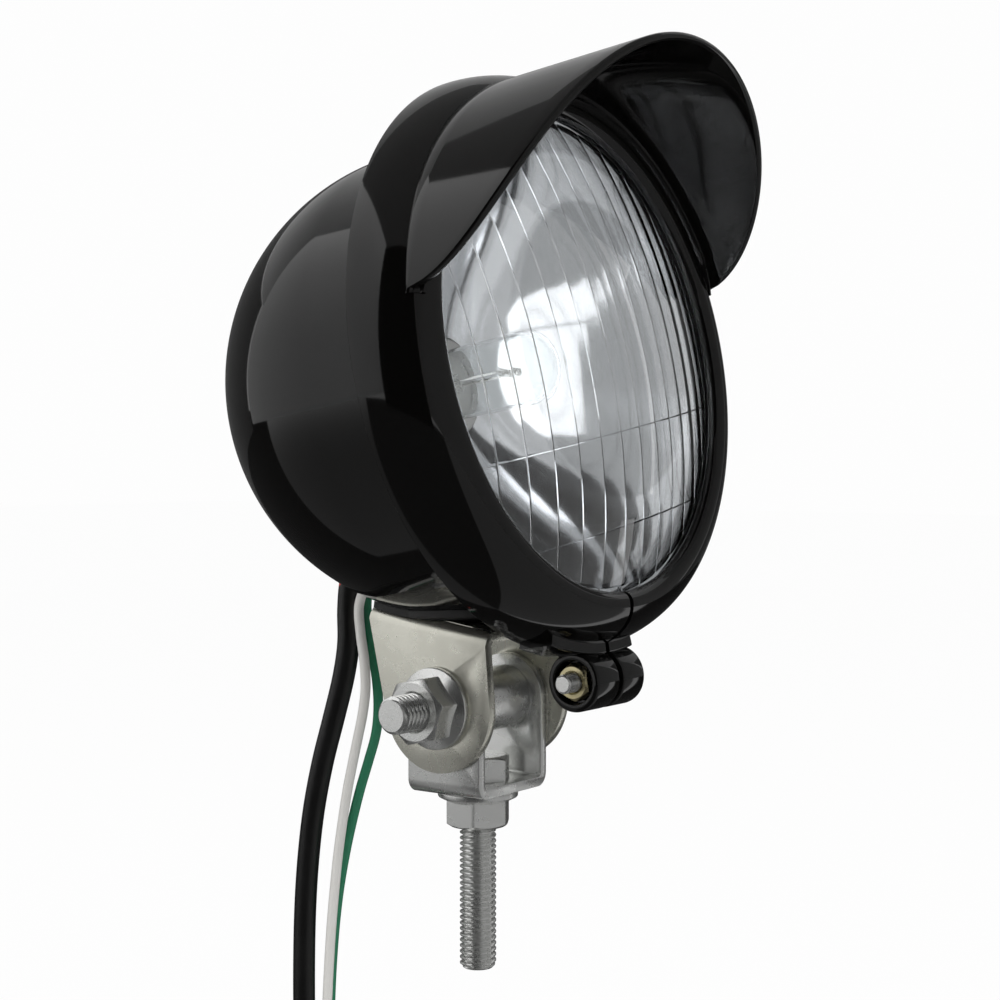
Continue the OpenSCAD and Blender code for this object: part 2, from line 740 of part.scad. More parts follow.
module bulb_socket() {
    back = bulb_seat - 1 - 3 * seat_gap;
    r = 3;
    color([0.15, 0.15, 0.15]) on_lamp() translate([0, 0, back - socket_d]) linear_extrude(socket_d - 1.6) {
        square([socket_w - 2 * r, socket_h], center = true);
        square([socket_w, socket_h - 2 * r], center = true);
        for (sx = [-1, 1], sy = [-1, 1])
            translate([sx * (socket_w / 2 - r), sy * (socket_h / 2 - r)]) circle(r);
    }
    color("goldenrod") on_lamp() translate([0, 0, back - 1.7]) for (x = [-7, 0, 7])
        translate([x - 1, -4, 0]) cube([2, 8, 1.7]);
}

module wire_grommet() {
    waist = grommet_r - 1.5;
    color([0.08, 0.08, 0.08]) on_grommet() {
        difference() {
            translate([0, 0, -shell_t - 1.4]) cylinder(h = shell_t + 1.4 + grommet_t, r = waist);
            for (hole = [SLEEVE_HOLE, WHITE_HOLE, GREEN_HOLE])
                translate([hole[0], hole[1], -shell_t - 1.4 - over]) cylinder(h = over + 0.4, r = wire_d / 2);
        }
        difference() {
            cylinder(h = grommet_t, r = grommet_r);
            translate([0, 0, -dome_r]) sphere(dome_r + seat_gap);
        }
    }
}

// A round tube swept along a list of places, ring by ring
module tube(path, r) {
    last = len(path) - 1;
    points = [for (i = [0:last]) let (
        along = path[min(i + 1, last)] - path[max(i - 1, 0)],
        up = cross(along / norm(along), [1, 0, 0])
    ) for (k = [0:tube_sides - 1]) path[i] + r * (cos(k * 360 / tube_sides) * [1, 0, 0]
        + sin(k * 360 / tube_sides) * up / norm(up))];
    sides = [for (i = [0:last - 1], k = [0:tube_sides - 1]) let (
        a = i * tube_sides + k,
        b = i * tube_sides + (k + 1) % tube_sides
    ) [a, b, b + tube_sides, a + tube_sides]];
    ends = [
        [for (k = [tube_sides - 1:-1:0]) k],
        [for (k = [0:tube_sides - 1]) last * tube_sides + k]
    ];
    polyhedron(points, concat(sides, ends));
}

module black_sleeve() {
    color([0.06, 0.06, 0.06]) tube(concat(lead_out(SLEEVE_HOLE), SLEEVE_ROUTE), sleeve_d / 2);
}

module red_wire() {
    color("firebrick") tube(RED_TAIL, wire_d / 2);
}

module white_wire() {
    color("whitesmoke") tube(concat(lead_out(WHITE_HOLE), WHITE_ROUTE), wire_d / 2);
}

module green_wire() {
    color("seagreen") tube(concat(lead_out(GREEN_HOLE), GREEN_ROUTE), wire_d / 2);
}

mounting_bolt();
mounting_nut();
lower_bracket();
pivot_bolt();
pivot_nut();
spacer_tube();
upper_bracket();
rubber_pad();
neck_bolt();
neck_plate();
neck_nut();
bucket();
rim();
clamp_screw();
clamp_nut();
visor();
lens();
lens_gasket();
lens_clips();
reflector();
bulb();
bulb_base();
bulb_clip();
bulb_socket();
wire_grommet();
black_sleeve();
red_wire();
white_wire();
green_wire();
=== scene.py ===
# %% [markdown]
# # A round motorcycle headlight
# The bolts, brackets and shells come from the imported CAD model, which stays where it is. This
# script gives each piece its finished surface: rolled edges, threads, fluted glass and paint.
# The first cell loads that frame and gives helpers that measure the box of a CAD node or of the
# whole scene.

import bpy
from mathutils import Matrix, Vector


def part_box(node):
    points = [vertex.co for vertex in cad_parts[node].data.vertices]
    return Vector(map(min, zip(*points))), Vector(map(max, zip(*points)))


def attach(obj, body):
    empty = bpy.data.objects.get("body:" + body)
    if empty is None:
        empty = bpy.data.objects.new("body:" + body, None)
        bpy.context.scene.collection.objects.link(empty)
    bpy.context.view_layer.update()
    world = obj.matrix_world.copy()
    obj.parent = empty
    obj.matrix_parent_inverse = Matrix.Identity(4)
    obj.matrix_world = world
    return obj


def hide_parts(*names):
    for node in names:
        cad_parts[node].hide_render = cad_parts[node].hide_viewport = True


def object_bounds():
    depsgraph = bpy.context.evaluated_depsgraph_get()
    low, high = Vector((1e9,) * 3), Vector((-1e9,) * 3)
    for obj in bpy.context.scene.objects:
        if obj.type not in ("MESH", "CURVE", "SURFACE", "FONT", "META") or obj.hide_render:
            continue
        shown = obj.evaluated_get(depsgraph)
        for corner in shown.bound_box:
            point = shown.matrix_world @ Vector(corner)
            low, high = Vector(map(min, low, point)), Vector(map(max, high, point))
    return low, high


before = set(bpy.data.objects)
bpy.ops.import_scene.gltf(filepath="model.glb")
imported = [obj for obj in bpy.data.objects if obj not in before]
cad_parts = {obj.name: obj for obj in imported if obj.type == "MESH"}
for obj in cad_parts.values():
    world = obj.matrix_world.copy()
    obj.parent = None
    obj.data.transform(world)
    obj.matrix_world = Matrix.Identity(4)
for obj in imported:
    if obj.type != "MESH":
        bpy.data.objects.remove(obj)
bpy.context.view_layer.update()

# %% Modules
import math

import bmesh
import bpy
from mathutils import Matrix, Vector

scene = bpy.context.scene
X, Y, Z = Vector((1, 0, 0)), Vector((0, 1, 0)), Vector((0, 0, 1))

# %% [markdown]
# ## Where things are
# A lamp like this has four natural frames of reference: the stud that it stands on, the pivot bolt
# that it tilts on, the neck bolt and the lamp's own axis. Each is a matrix here that also turns
# millimetres into metres, so a piece is written in millimetres round its own axis and placed once.

# %% Frames of reference
MM = 0.001
RUNOUT = 0.3
NUT_H = 8
LOWER_Z = RUNOUT + NUT_H
PIVOT_Z = LOWER_Z + 19.3
BRACKET_PITCH = 8
LAMP_PITCH = 9.3
DOME_R = 51.1
PAD_T = 1.5
SEAT_GAP = 0.05
WEB_H, DISH_DEPTH = 18.4, 3.05
DISH_R = DOME_R + PAD_T + 2 * SEAT_GAP
DOME_BACK, DOME_UP = 14.2, WEB_H - DISH_DEPTH + DISH_R


def turn(degrees, axis):
    return Matrix.Rotation(math.radians(degrees), 4, axis)


def shift(x, y, z):
    return Matrix.Translation((x, y, z))


STUD = Matrix.Scale(MM, 4)
PIVOT = STUD @ shift(0, 0, PIVOT_Z) @ turn(BRACKET_PITCH, "X")
NECK_BACK = 5
NECK = PIVOT @ shift(0, NECK_BACK, 0)
LAMP = PIVOT @ shift(0, DOME_BACK, DOME_UP) @ turn(90 - LAMP_PITCH - BRACKET_PITCH, "X")
GROMMET_TURN = 43
GROMMET = LAMP @ turn(90 + GROMMET_TURN, "X") @ shift(0, 0, DOME_R)
print("lamp centre in metres:", [round(v, 4) for v in LAMP.translation])

# %% [markdown]
# ## The camera
# The photograph was taken from the lamp's right front, almost level with it and fairly close. The
# camera comes first, because the loose leads may only spread a little outside its view.

# %% Camera
CAMERA_AZIMUTH = 54.2
CAMERA_DROP = 1.6
CAMERA_DISTANCE = 400
CAMERA_TARGET = (9, 0, 69.3)
FOCAL_PIXELS, FRAME_PIXELS, SENSOR_MM = 1800, 1000, 36
CENTRE_PIXEL = (502, 509)

a, e = math.radians(CAMERA_AZIMUTH), math.radians(CAMERA_DROP)
looking = Vector((math.cos(e) * math.sin(a), math.cos(e) * math.cos(a), -math.sin(e)))
camera_data = bpy.data.cameras.new("camera")
camera_data.sensor_width = SENSOR_MM
camera_data.lens = FOCAL_PIXELS / FRAME_PIXELS * SENSOR_MM
camera_data.shift_x = (FRAME_PIXELS / 2 - CENTRE_PIXEL[0]) / FRAME_PIXELS
camera_data.shift_y = (CENTRE_PIXEL[1] - FRAME_PIXELS / 2) / FRAME_PIXELS
camera_data.clip_start = 0.01
camera = bpy.data.objects.new("camera", camera_data)
camera.location = (Vector(CAMERA_TARGET) - looking * CAMERA_DISTANCE) * MM
camera.rotation_mode = "QUATERNION"
camera.rotation_quaternion = looking.to_track_quat("-Z", "Y")
scene.collection.objects.link(camera)
scene.camera = camera
print("camera at", [round(v, 3) for v in camera.location], "lens", round(camera_data.lens, 1))

# %% [markdown]
# ## Ways to make a mesh
# Most of the lamp was spun or turned on a lathe, so most meshes are a section swept round an axis.
# `fillet` rounds the corners of such a section, `lathe` sweeps it, and `skin` joins any row of
# rings with faces. A shape is a pair here: its points in millimetres, and its faces.


# %% Sections with rounded corners
def fillet(corners, steps=4):
    """A closed section: each corner is (across, along) or (across, along, radius)."""
    section = []
    for i, corner in enumerate(corners):
        here = Vector(corner[:2])
        radius = corner[2] if len(corner) > 2 else 0
        before = Vector(corners[i - 1][:2]) - here
        after = Vector(corners[(i + 1) % len(corners)][:2]) - here
        bend = before.angle(after, 0) if before.length and after.length else 0
        if not radius or bend < 0.01 or bend > math.pi - 0.01:
            section.append(tuple(here))
            continue
        back = min(radius / math.tan(bend / 2), 0.49 * before.length, 0.49 * after.length)
        start, stop = here + before.normalized() * back, here + after.normalized() * back
        for k in range(steps + 1):
            t = k / steps
            section.append(tuple((1 - t) ** 2 * start + 2 * t * (1 - t) * here + t * t * stop))
    return section


def arc(centre, radius, start, stop, steps):
    """Points on a circle in the section, angles in degrees from the outward direction."""
    turns = [math.radians(start + (stop - start) * k / steps) for k in range(steps + 1)]
    return [(centre[0] + radius * math.cos(t), centre[1] + radius * math.sin(t)) for t in turns]


# %% Joining and moving shapes
def skin(rings, whole_turn=False, closed=True):
    """Joins rings of points with faces. Closed rings that don't go all round get two end faces."""
    count, n = len(rings), len(rings[0])
    faces = []
    for i in range(count if whole_turn else count - 1):
        one, two = i * n, (i + 1) % count * n
        for k in range(n if closed else n - 1):
            m = (k + 1) % n
            faces.append((one + k, two + k, two + m, one + m))
    if closed and not whole_turn:
        faces += [tuple(range(n)), tuple(reversed(range((count - 1) * n, count * n)))]
    return [point for ring in rings for point in ring], faces


def turns_of(count):
    """Angles that share a whole turn out evenly."""
    return [2 * math.pi * k / count for k in range(count)]


def lathe(section, steps, start=0.0, stop=360.0, closed=True):
    """A section of (radius, height) turned about Z. One that isn't closed ends on the axis."""
    whole_turn = stop - start >= 360
    angles = [math.radians(start + (stop - start) * i / steps) for i in range(steps + 1)]
    if whole_turn:
        angles.pop()
    rings = [[(r * math.cos(t), r * math.sin(t), z) for r, z in section] for t in angles]
    return skin(rings, whole_turn, closed)


def shank(radius, low, high, steps):
    """A plain round rod along Z."""
    return lathe([(0, low), (radius, low), (radius, high), (0, high)], steps, closed=False)


def together(*shapes):
    """Several shapes as one."""
    points, faces = [], []
    for some_points, some_faces in shapes:
        faces += [tuple(i + len(points) for i in face) for face in some_faces]
        points += [tuple(p) for p in some_points]
    return points, faces


def moved(shape, matrix):
    return [tuple(matrix @ Vector(p)) for p in shape[0]], shape[1]


# %% [markdown]
# `finish` cleans a mesh, places it, marks its sharp edges, gives it its material and tells the
# frame which body it rides on and which CAD nodes it stands for.

# %% Finishing a piece
SHARP_ANGLE = 32


def ride_on(piece, body, nodes):
    """Tells the frame about a piece. Blender adds .001 to a name that the frame has as well."""
    scene.collection.objects.link(piece)
    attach(piece, body)
    if nodes:
        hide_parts(*nodes)
    return piece


def finish(name, mesh, material, body, nodes=(), where=None, sharp=SHARP_ANGLE, merge=0.002):
    """Cleans and places a mesh, gives it a material, and has it ride in place of CAD nodes."""
    work = bmesh.new()
    work.from_mesh(mesh)
    bmesh.ops.remove_doubles(work, verts=work.verts, dist=merge)
    bmesh.ops.dissolve_degenerate(work, dist=merge / 4, edges=work.edges)
    bmesh.ops.recalc_face_normals(work, faces=work.faces)
    work.to_mesh(mesh)
    work.free()
    if where is not None:
        mesh.transform(where)
    mesh.shade_smooth()
    mesh.set_sharp_from_angle(angle=math.radians(sharp))
    mesh.materials.clear()
    mesh.materials.append(material)
    return ride_on(bpy.data.objects.new(name, mesh), body, nodes)


def make(name, shape, material, body, where=STUD, nodes=()):
    """A piece from a shape."""
    mesh = bpy.data.meshes.new(name)
    mesh.from_pydata(shape[0], [], shape[1])
    return finish(name, mesh, material, body, nodes, where)


def dress(node, shape, material, body, where=STUD):
    """A piece from a shape, in place of the CAD node of that name."""
    return make(node + "_dressed", shape, material, body, where, [node])


# %% [markdown]
# Pressed and folded pieces already have their true shape in the CAD model, but its edges are
# knife-sharp. `soften` takes a copy of a node, merges its loose triangles, dissolves them into
# whole faces and rolls the sharp edges with a Bevel modifier, which is then made part of the mesh.


# %% Softening the edges of a CAD node
def made_plain(rough):
    """The mesh that an object's modifiers make. The object itself is removed."""
    bpy.context.view_layer.update()
    graph = bpy.context.evaluated_depsgraph_get()
    mesh = bpy.data.meshes.new_from_object(rough.evaluated_get(graph), depsgraph=graph)
    bpy.data.objects.remove(rough)
    return mesh


def soften(node, material, body, edge, angle=35):
    """A copy of a CAD node with rolled edges, in its place. The edge is in millimetres."""
    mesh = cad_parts[node].data.copy()
    work = bmesh.new()
    work.from_mesh(mesh)
    bmesh.ops.remove_doubles(work, verts=work.verts, dist=2e-6)
    bmesh.ops.dissolve_limit(
        work, angle_limit=math.radians(0.6), verts=work.verts, edges=work.edges
    )
    work.to_mesh(mesh)
    work.free()
    rough = bpy.data.objects.new(node + "_rough", mesh)
    scene.collection.objects.link(rough)
    bevel = rough.modifiers.new("edges", "BEVEL")
    bevel.width = edge * MM
    bevel.segments = 2
    bevel.limit_method = "ANGLE"
    bevel.angle_limit = math.radians(angle)
    bevel.use_clamp_overlap = True
    return finish(node + "_dressed", made_plain(rough), material, body, [node], merge=1e-6)


# %% [markdown]
# ## Shared shading effects
# Paint, zinc and rubber all carry fine unevenness, dust and handling marks. These could be painted
# on images, but noise in Object coordinates needs no unwrapping and stays sharp from close by.
# They are one node group with its own inputs, so every material can use it with other values.


# %% Helpers for node trees
def feed(tree, socket, value):
    """Gives an input a value, or a link from another node's output."""
    if isinstance(value, bpy.types.NodeSocket):
        tree.links.new(value, socket)
    else:
        socket.default_value = value


def add(tree, kind, inputs=None, **settings):
    """A new node with its settings and, by name or number, what goes into its inputs."""
    node = tree.nodes.new(kind)
    for key, value in settings.items():
        setattr(node, key, value)
    for key, value in (inputs or {}).items():
        feed(tree, node.inputs[key], value)
    return node


def calc(tree, operation, *values, clamp=False):
    """What a Math node makes of its inputs."""
    node = add(tree, "ShaderNodeMath", operation=operation, use_clamp=clamp)
    for socket, value in zip(node.inputs, values):
        feed(tree, socket, value)
    return node.outputs[0]


def new_tree(name, kind, inputs, outputs):
    """A node group with its named inputs and outputs, and the nodes where they enter and leave."""
    tree = bpy.data.node_groups.new(name, kind)
    for way, sockets in (("INPUT", inputs), ("OUTPUT", outputs)):
        for label, sort, *value in sockets:
            socket = tree.interface.new_socket(
                label, in_out=way, socket_type="NodeSocket" + sort
            )
            if value:
                socket.default_value = value[0]
    return tree, add(tree, "NodeGroupInput"), add(tree, "NodeGroupOutput")


# %% A group for fine unevenness and dust
SPECK_SCALE, SPECK_SIZE = 420, 0.13
SMUDGE_EDGE = (0.42, 0.72)


def make_surface_group():
    group, enter, leave = new_tree(
        "Surface marks", "ShaderNodeTree",
        [
            ("Grain size", "Float", 900.0), ("Grain depth", "Float", 0.1),
            ("Smudge size", "Float", 60.0), ("Smudge", "Float", 0.1),
            ("Speck amount", "Float", 0.1),
        ],
        [("Height", "Float"), ("Smudge", "Float"), ("Specks", "Float")],
    )
    given = enter.outputs
    place = add(group, "ShaderNodeTexCoord").outputs["Object"]
    grain = add(
        group, "ShaderNodeTexNoise", {"Vector": place, "Scale": given["Grain size"], "Detail": 2}
    )
    smudge = add(
        group, "ShaderNodeTexNoise",
        {"Vector": place, "Scale": given["Smudge size"], "Detail": 5, "Roughness": 0.62},
    )
    speck = add(group, "ShaderNodeTexVoronoi", {"Vector": place, "Scale": SPECK_SCALE}).outputs
    dot = calc(group, "LESS_THAN", speck["Distance"], SPECK_SIZE)
    chosen = calc(group, "LESS_THAN", speck["Color"], given["Speck amount"])
    spread = add(
        group, "ShaderNodeMapRange",
        {"Value": smudge.outputs["Fac"], "From Min": SMUDGE_EDGE[0], "From Max": SMUDGE_EDGE[1]},
    )
    for label, one, two in (
        ("Specks", dot, chosen),
        ("Height", grain.outputs["Fac"], given["Grain depth"]),
        ("Smudge", spread.outputs["Result"], given["Smudge"]),
    ):
        feed(group, leave.inputs[label], calc(group, "MULTIPLY", one, two))
    return group


SURFACE = make_surface_group()
print("shading groups:", [g.name for g in bpy.data.node_groups])

# %% [markdown]
# A material here is a Principled shader fed by that group: the smudges change its roughness, the
# grain bumps it, and smudges and specks mix in a second tint. What is the same all over stays on
# the shader's own sockets, so that other programs can read it.


# %% One recipe for the finishes
def new_material(name, inputs):
    """A material, and its Principled shader with these inputs."""
    material = bpy.data.materials.new(name)
    material.use_nodes = True
    shader = material.node_tree.nodes["Principled BSDF"]
    for label, value in inputs.items():
        feed(material.node_tree, shader.inputs[label], value)
    return material, shader


def finish_material(
    name, colour, rough, metal=0.0, grain=(900, 0.02), smudge=(60, 0.1), specks=0.03, tint=None,
    bump=0.2,
):
    """Grain and smudge are each (scale, strength). Without a tint the colour is lightened."""
    material, shader = new_material(name, {"Metallic": metal})
    tree = material.node_tree
    marks = add(
        tree, "ShaderNodeGroup",
        {
            "Grain size": grain[0], "Grain depth": grain[1], "Smudge size": smudge[0],
            "Smudge": smudge[1], "Speck amount": specks,
        },
        node_tree=SURFACE,
    ).outputs
    tint = tint or [min(1, c * 1.25 + 0.01) for c in colour]
    share = calc(tree, "ADD", marks["Smudge"], marks["Specks"], clamp=True)
    mix = add(
        tree, "ShaderNodeMix", {"A": (*colour, 1), "B": (*tint, 1), "Factor": share},
        data_type="RGBA",
    )
    lift = add(
        tree, "ShaderNodeBump", {"Strength": bump, "Distance": MM, "Height": marks["Height"]}
    )
    feed(tree, shader.inputs["Base Color"], mix.outputs["Result"])
    feed(tree, shader.inputs["Roughness"], calc(tree, "ADD", marks["Smudge"], rough, clamp=True))
    feed(tree, shader.inputs["Normal"], lift.outputs["Normal"])
    return material


BLACK_PAINT = finish_material(
    "black_paint", (0.002, 0.0019, 0.0018), 0.05, grain=(150, 0.006), smudge=(30, 0.03),
    specks=0.008, tint=(0.01, 0.0095, 0.009), bump=0.1,
)
ZINC = finish_material(
    "zinc_plate", (0.88, 0.885, 0.87), 0.24, metal=0.94, grain=(2600, 0.05), smudge=(130, 0.1),
    specks=0.05, tint=(0.64, 0.64, 0.6),
)
WARM_ZINC = finish_material(
    "warm_zinc_plate", (0.87, 0.86, 0.765), 0.24, metal=0.94, grain=(2200, 0.05),
    smudge=(90, 0.13), specks=0.07, tint=(0.7, 0.67, 0.54),
)
YELLOW_ZINC = finish_material(
    "yellow_zinc_plate", (0.74, 0.66, 0.4), 0.22, metal=1.0, smudge=(200, 0.2),
    tint=(0.6, 0.5, 0.26),
)
SPRING_STEEL = finish_material(
    "spring_steel", (0.42, 0.42, 0.41), 0.3, metal=1.0, smudge=(200, 0.2), tint=(0.3, 0.29, 0.27),
)
BOWL = finish_material(
    "bright_bowl", (0.8, 0.81, 0.83), 0.09, metal=1.0, grain=(120, 0.01), smudge=(60, 0.03),
    specks=0.0, bump=0.05,
)
BULB_METAL = finish_material(
    "bulb_metal", (0.74, 0.73, 0.71), 0.25, metal=1.0, smudge=(150, 0.15),
    tint=(0.55, 0.52, 0.48),
)
RUBBER = finish_material(
    "black_rubber", (0.022, 0.022, 0.022), 0.55, grain=(1600, 0.1), smudge=(120, 0.2), bump=0.4,
)
DARK_PLASTIC = finish_material("dark_plastic", (0.03, 0.03, 0.032), 0.4, grain=(1500, 0.05))
SLEEVING = finish_material(
    "black_sleeving", (0.005, 0.005, 0.005), 0.3, grain=(700, 0.05), smudge=(90, 0.12),
)
RED = finish_material("red_insulation", (0.55, 0.03, 0.02), 0.3, smudge=(150, 0.12))
WHITE = finish_material(
    "white_insulation", (0.76, 0.75, 0.72), 0.32, smudge=(150, 0.12), tint=(0.6, 0.57, 0.52),
)
GREEN = finish_material("green_insulation", (0.02, 0.2, 0.1), 0.3, smudge=(150, 0.12))
COPPER = finish_material("tinned_strands", (0.72, 0.6, 0.5), 0.3, metal=1.0, grain=(3000, 0.2))
print("materials:", len(bpy.data.materials))

# %% [markdown]
# Glass needs no smudges. The lamp's glass carries painted shade in rings round its middle, which
# stands in for the light and shade of the bowl behind it: it is greyer in the middle and in an
# outer ring, and clearer in the ring between. The distance from the lamp's axis picks the grey
# from a ramp. The bulb's thin glass has a low index, so that it bends the light as little as it
# should.

# %% Glass
BULB_IOR, LENS_IOR = 1.15, 1.5
# Painted shade: these greys darken the glass's colour in rings, in place of the bowl's own light
# and shade.
PAINTED_SHADE_RINGS = [(0, 0.62), (30.6, 0.62), (31.4, 0.84), (41.6, 0.84), (42.6, 0.66), (52, 0.66)]


def make_glass(name, index):
    """Clear glass that lets the studio's light through to the bowl."""
    material, _ = new_material(name, {
        "Base Color": (0.97, 0.985, 0.985, 1), "Roughness": 0.0, "Transmission Weight": 1.0,
        "IOR": index,
    })
    return material


def paint_shade_rings(material, rings):
    """Paints shade into glass in rings round the lamp's axis: each stop is its distance in
    millimetres and its grey.
    """
    tree = material.node_tree
    to_lamp = (STUD @ LAMP.inverted()).normalized()
    place = add(tree, "ShaderNodeMapping", {
        "Rotation": to_lamp.to_euler(), "Location": -(to_lamp.to_3x3() @ LAMP.translation),
        "Vector": add(tree, "ShaderNodeTexCoord").outputs["Object"],
    })
    flat = add(
        tree, "ShaderNodeVectorMath", {0: place.outputs["Vector"], 1: (1, 1, 0)},
        operation="MULTIPLY",
    )
    radius = add(tree, "ShaderNodeVectorMath", {0: flat.outputs["Vector"]}, operation="LENGTH")
    span = rings[-1][0] * MM
    share = calc(tree, "DIVIDE", radius.outputs["Value"], span, clamp=True)
    ramp = add(tree, "ShaderNodeValToRGB", {"Fac": share})
    stops = ramp.color_ramp.elements
    while len(stops) > 1:
        stops.remove(stops[-1])
    for i, (start, grey) in enumerate(rings):
        stop = stops[0] if i == 0 else stops.new(start * MM / span)
        stop.position = start * MM / span
        stop.color = (grey * 0.985, grey, grey * 1.005, 1)
    feed(tree, tree.nodes["Principled BSDF"].inputs["Base Color"], ramp.outputs["Color"])


GLASS = make_glass("clear_glass", BULB_IOR)
LENS_GLASS = make_glass("fluted_glass", LENS_IOR)
# Painted shade in rings on the lens glass.
paint_shade_rings(LENS_GLASS, PAINTED_SHADE_RINGS)
print("rings in the glass:", len(PAINTED_SHADE_RINGS))

# %% [markdown]
# ## Threads
# A thread is a ridge that winds round a shaft, which is a rule and not a list of places. One
# Geometry Nodes tree makes every threaded shaft here: it takes a plain cylinder with many rings
# and moves each point in by where it stands on the helix. At both ends a chamfer takes over, as
# on a rolled thread.


# %% Geometry Nodes helpers
def geo_tree(name, inputs):
    """A modifier's tree. Its inputs are (name, number), and whole numbers give whole inputs."""
    shape = ("Geometry", "Geometry")
    sizes = [(label, "Int" if isinstance(n, int) else "Float", n) for label, n in inputs]
    tree, enter, leave = new_tree(
        name, "GeometryNodeTree", [shape, *sizes, ("Material", "Material")], [shape]
    )
    tree.is_modifier = True
    print(name, "takes", [label for label, _ in inputs])
    return tree, enter.outputs, leave


def place_of(tree):
    """The x, y and z of each point."""
    position = add(tree, "GeometryNodeInputPosition").outputs[0]
    return add(tree, "ShaderNodeSeparateXYZ", {0: position}).outputs


def end_tree(tree, given, leave, geometry, x, y, z):
    """Moves the points, and ends the tree by realising instances and setting the material."""
    new_place = add(tree, "ShaderNodeCombineXYZ", {0: x, 1: y, 2: z}).outputs[0]
    move = add(tree, "GeometryNodeSetPosition", {"Geometry": geometry, "Position": new_place})
    real = add(tree, "GeometryNodeRealizeInstances", {0: move.outputs[0]})
    paint = add(
        tree, "GeometryNodeSetMaterial",
        {"Geometry": real.outputs[0], "Material": given["Material"]},
    )
    feed(tree, leave.inputs[0], paint.outputs[0])
    return tree


def grown(name, tree, values, start=None):
    """Runs a tree on a mesh, or on none, with inputs given by name. Returns the plain mesh."""
    holder = bpy.data.objects.new(name + "_rough", start or bpy.data.meshes.new(name))
    scene.collection.objects.link(holder)
    modifier = holder.modifiers.new("nodes", "NODES")
    modifier.node_group = tree
    ids = {s.name: s.identifier for s in tree.interface.items_tree if s.in_out == "INPUT"}
    for label, value in values.items():
        modifier[ids[label]] = value
    return made_plain(holder)


# %% The thread tree
THREAD_SIDES, RINGS_A_TURN = 32, 8
FLANK = (0.1, 0.44)


def make_thread_tree():
    tree, given, leave = geo_tree(
        "Threaded shaft",
        [
            ("Radius", 4.0), ("Length", 31.0), ("Pitch", 1.25), ("Depth", 0.68),
            ("Chamfer", 0.8), ("Rings", 200), ("Sides", 36),
        ],
    )

    def m(operation, *values):
        return calc(tree, operation, *values)

    rod = add(tree, "GeometryNodeMeshCylinder", {
        "Vertices": given["Sides"], "Side Segments": given["Rings"],
        "Radius": given["Radius"], "Depth": given["Length"],
    })
    across, along, up = place_of(tree)
    turns = m("DIVIDE", m("ARCTAN2", along, across), 2 * math.pi)
    phase = m("FRACT", m("SUBTRACT", m("DIVIDE", up, given["Pitch"]), turns))
    groove_side = add(
        tree, "ShaderNodeMapRange",
        {
            "Value": m("ABSOLUTE", m("SUBTRACT", phase, 0.5)),
            "From Min": FLANK[0], "From Max": FLANK[1],
        },
        interpolation_type="SMOOTHSTEP",
    )
    cut = m("MULTIPLY", groove_side.outputs["Result"], given["Depth"])
    to_end = m("SUBTRACT", m("DIVIDE", given["Length"], 2.0), m("ABSOLUTE", up))
    end_cut = m("MAXIMUM", m("SUBTRACT", given["Chamfer"], to_end), 0.0)
    left = m("SUBTRACT", given["Radius"], m("MAXIMUM", cut, end_cut))
    share = m("DIVIDE", left, given["Radius"])
    x, y = m("MULTIPLY", across, share), m("MULTIPLY", along, share)
    return end_tree(tree, given, leave, rod.outputs["Mesh"], x, y, up)


THREAD = make_thread_tree()


def threaded(name, radius, low, high, pitch):
    """A threaded shaft along Z between two heights."""
    length = high - low
    mesh = grown(name, THREAD, {
        "Radius": float(radius), "Length": float(length), "Pitch": float(pitch),
        "Depth": 0.58 * pitch, "Chamfer": 0.6 * pitch,
        "Rings": round(length / pitch * RINGS_A_TURN), "Sides": THREAD_SIDES, "Material": ZINC,
    })
    points = [(v.co.x, v.co.y, v.co.z + (low + high) / 2) for v in mesh.vertices]
    return points, [tuple(face.vertices) for face in mesh.polygons]


# %% [markdown]
# ## Hexagons
# A forged hexagon has its corners cut by a cone, which leaves the curved edges that catch the
# light. The radius and the height of each point follow from the angle: the flat's distance grows
# to the corner, and the cone's height falls with the radius. Here that gives the exact outline.

# %% Heads and nuts
HEX_STEPS = 96
CHAMFER_SLOPE = math.tan(math.radians(30))
CORNER_REACH = 2 / math.sqrt(3) * 0.985
DISC_SHARE = 0.94
BORE_CHAMFER = 0.5


def hexagon(flats, low, high, low_cut=False, bore=0.0, edge=0.12):
    """A hexagon about Z, cone-cut on top and, if asked, below too, solid or bored."""
    rings = []
    disc = flats / 2 * DISC_SHARE
    for t in turns_of(HEX_STEPS):
        off = (t + math.pi / 6) % (math.pi / 3) - math.pi / 6
        reach = flats / 2 * min(1 / math.cos(off), CORNER_REACH)
        drop = (reach - disc) * CHAMFER_SLOPE
        rise = drop if low_cut else 0
        ring = [
            (disc, low), (reach - edge, low + rise), (reach, low + rise + edge),
            (reach, high - drop - edge), (reach - edge, high - drop), (disc, high),
        ]
        if bore:
            wide = bore + BORE_CHAMFER
            ring += [
                (wide, high), (bore, high - BORE_CHAMFER), (bore, low + BORE_CHAMFER), (wide, low)
            ]
        rings.append([(r * math.cos(t), r * math.sin(t), z) for r, z in ring])
    points, faces = skin(rings, whole_turn=True, closed=bool(bore))
    if not bore:
        n = len(rings[0])
        faces.append(tuple(i * n for i in reversed(range(HEX_STEPS))))
        faces.append(tuple(i * n + n - 1 for i in range(HEX_STEPS)))
    return points, faces


HEX = 13
THREAD_R, PITCH = 4.0, 1.25


def flange_nut():
    """An M8 flange nut that stands on its flange, 8 mm high."""
    inside = THREAD_R + 0.4
    flange = fillet([
        (inside, 0), (8.4, 0, 0.3), (8.8, 0.5, 0.3), (8.8, 1.5, 0.5), (6.5, 2.6, 0.6),
        (inside, 2.6),
    ])
    return together(lathe(flange, 72), hexagon(HEX, 1.2, NUT_H, bore=THREAD_R))


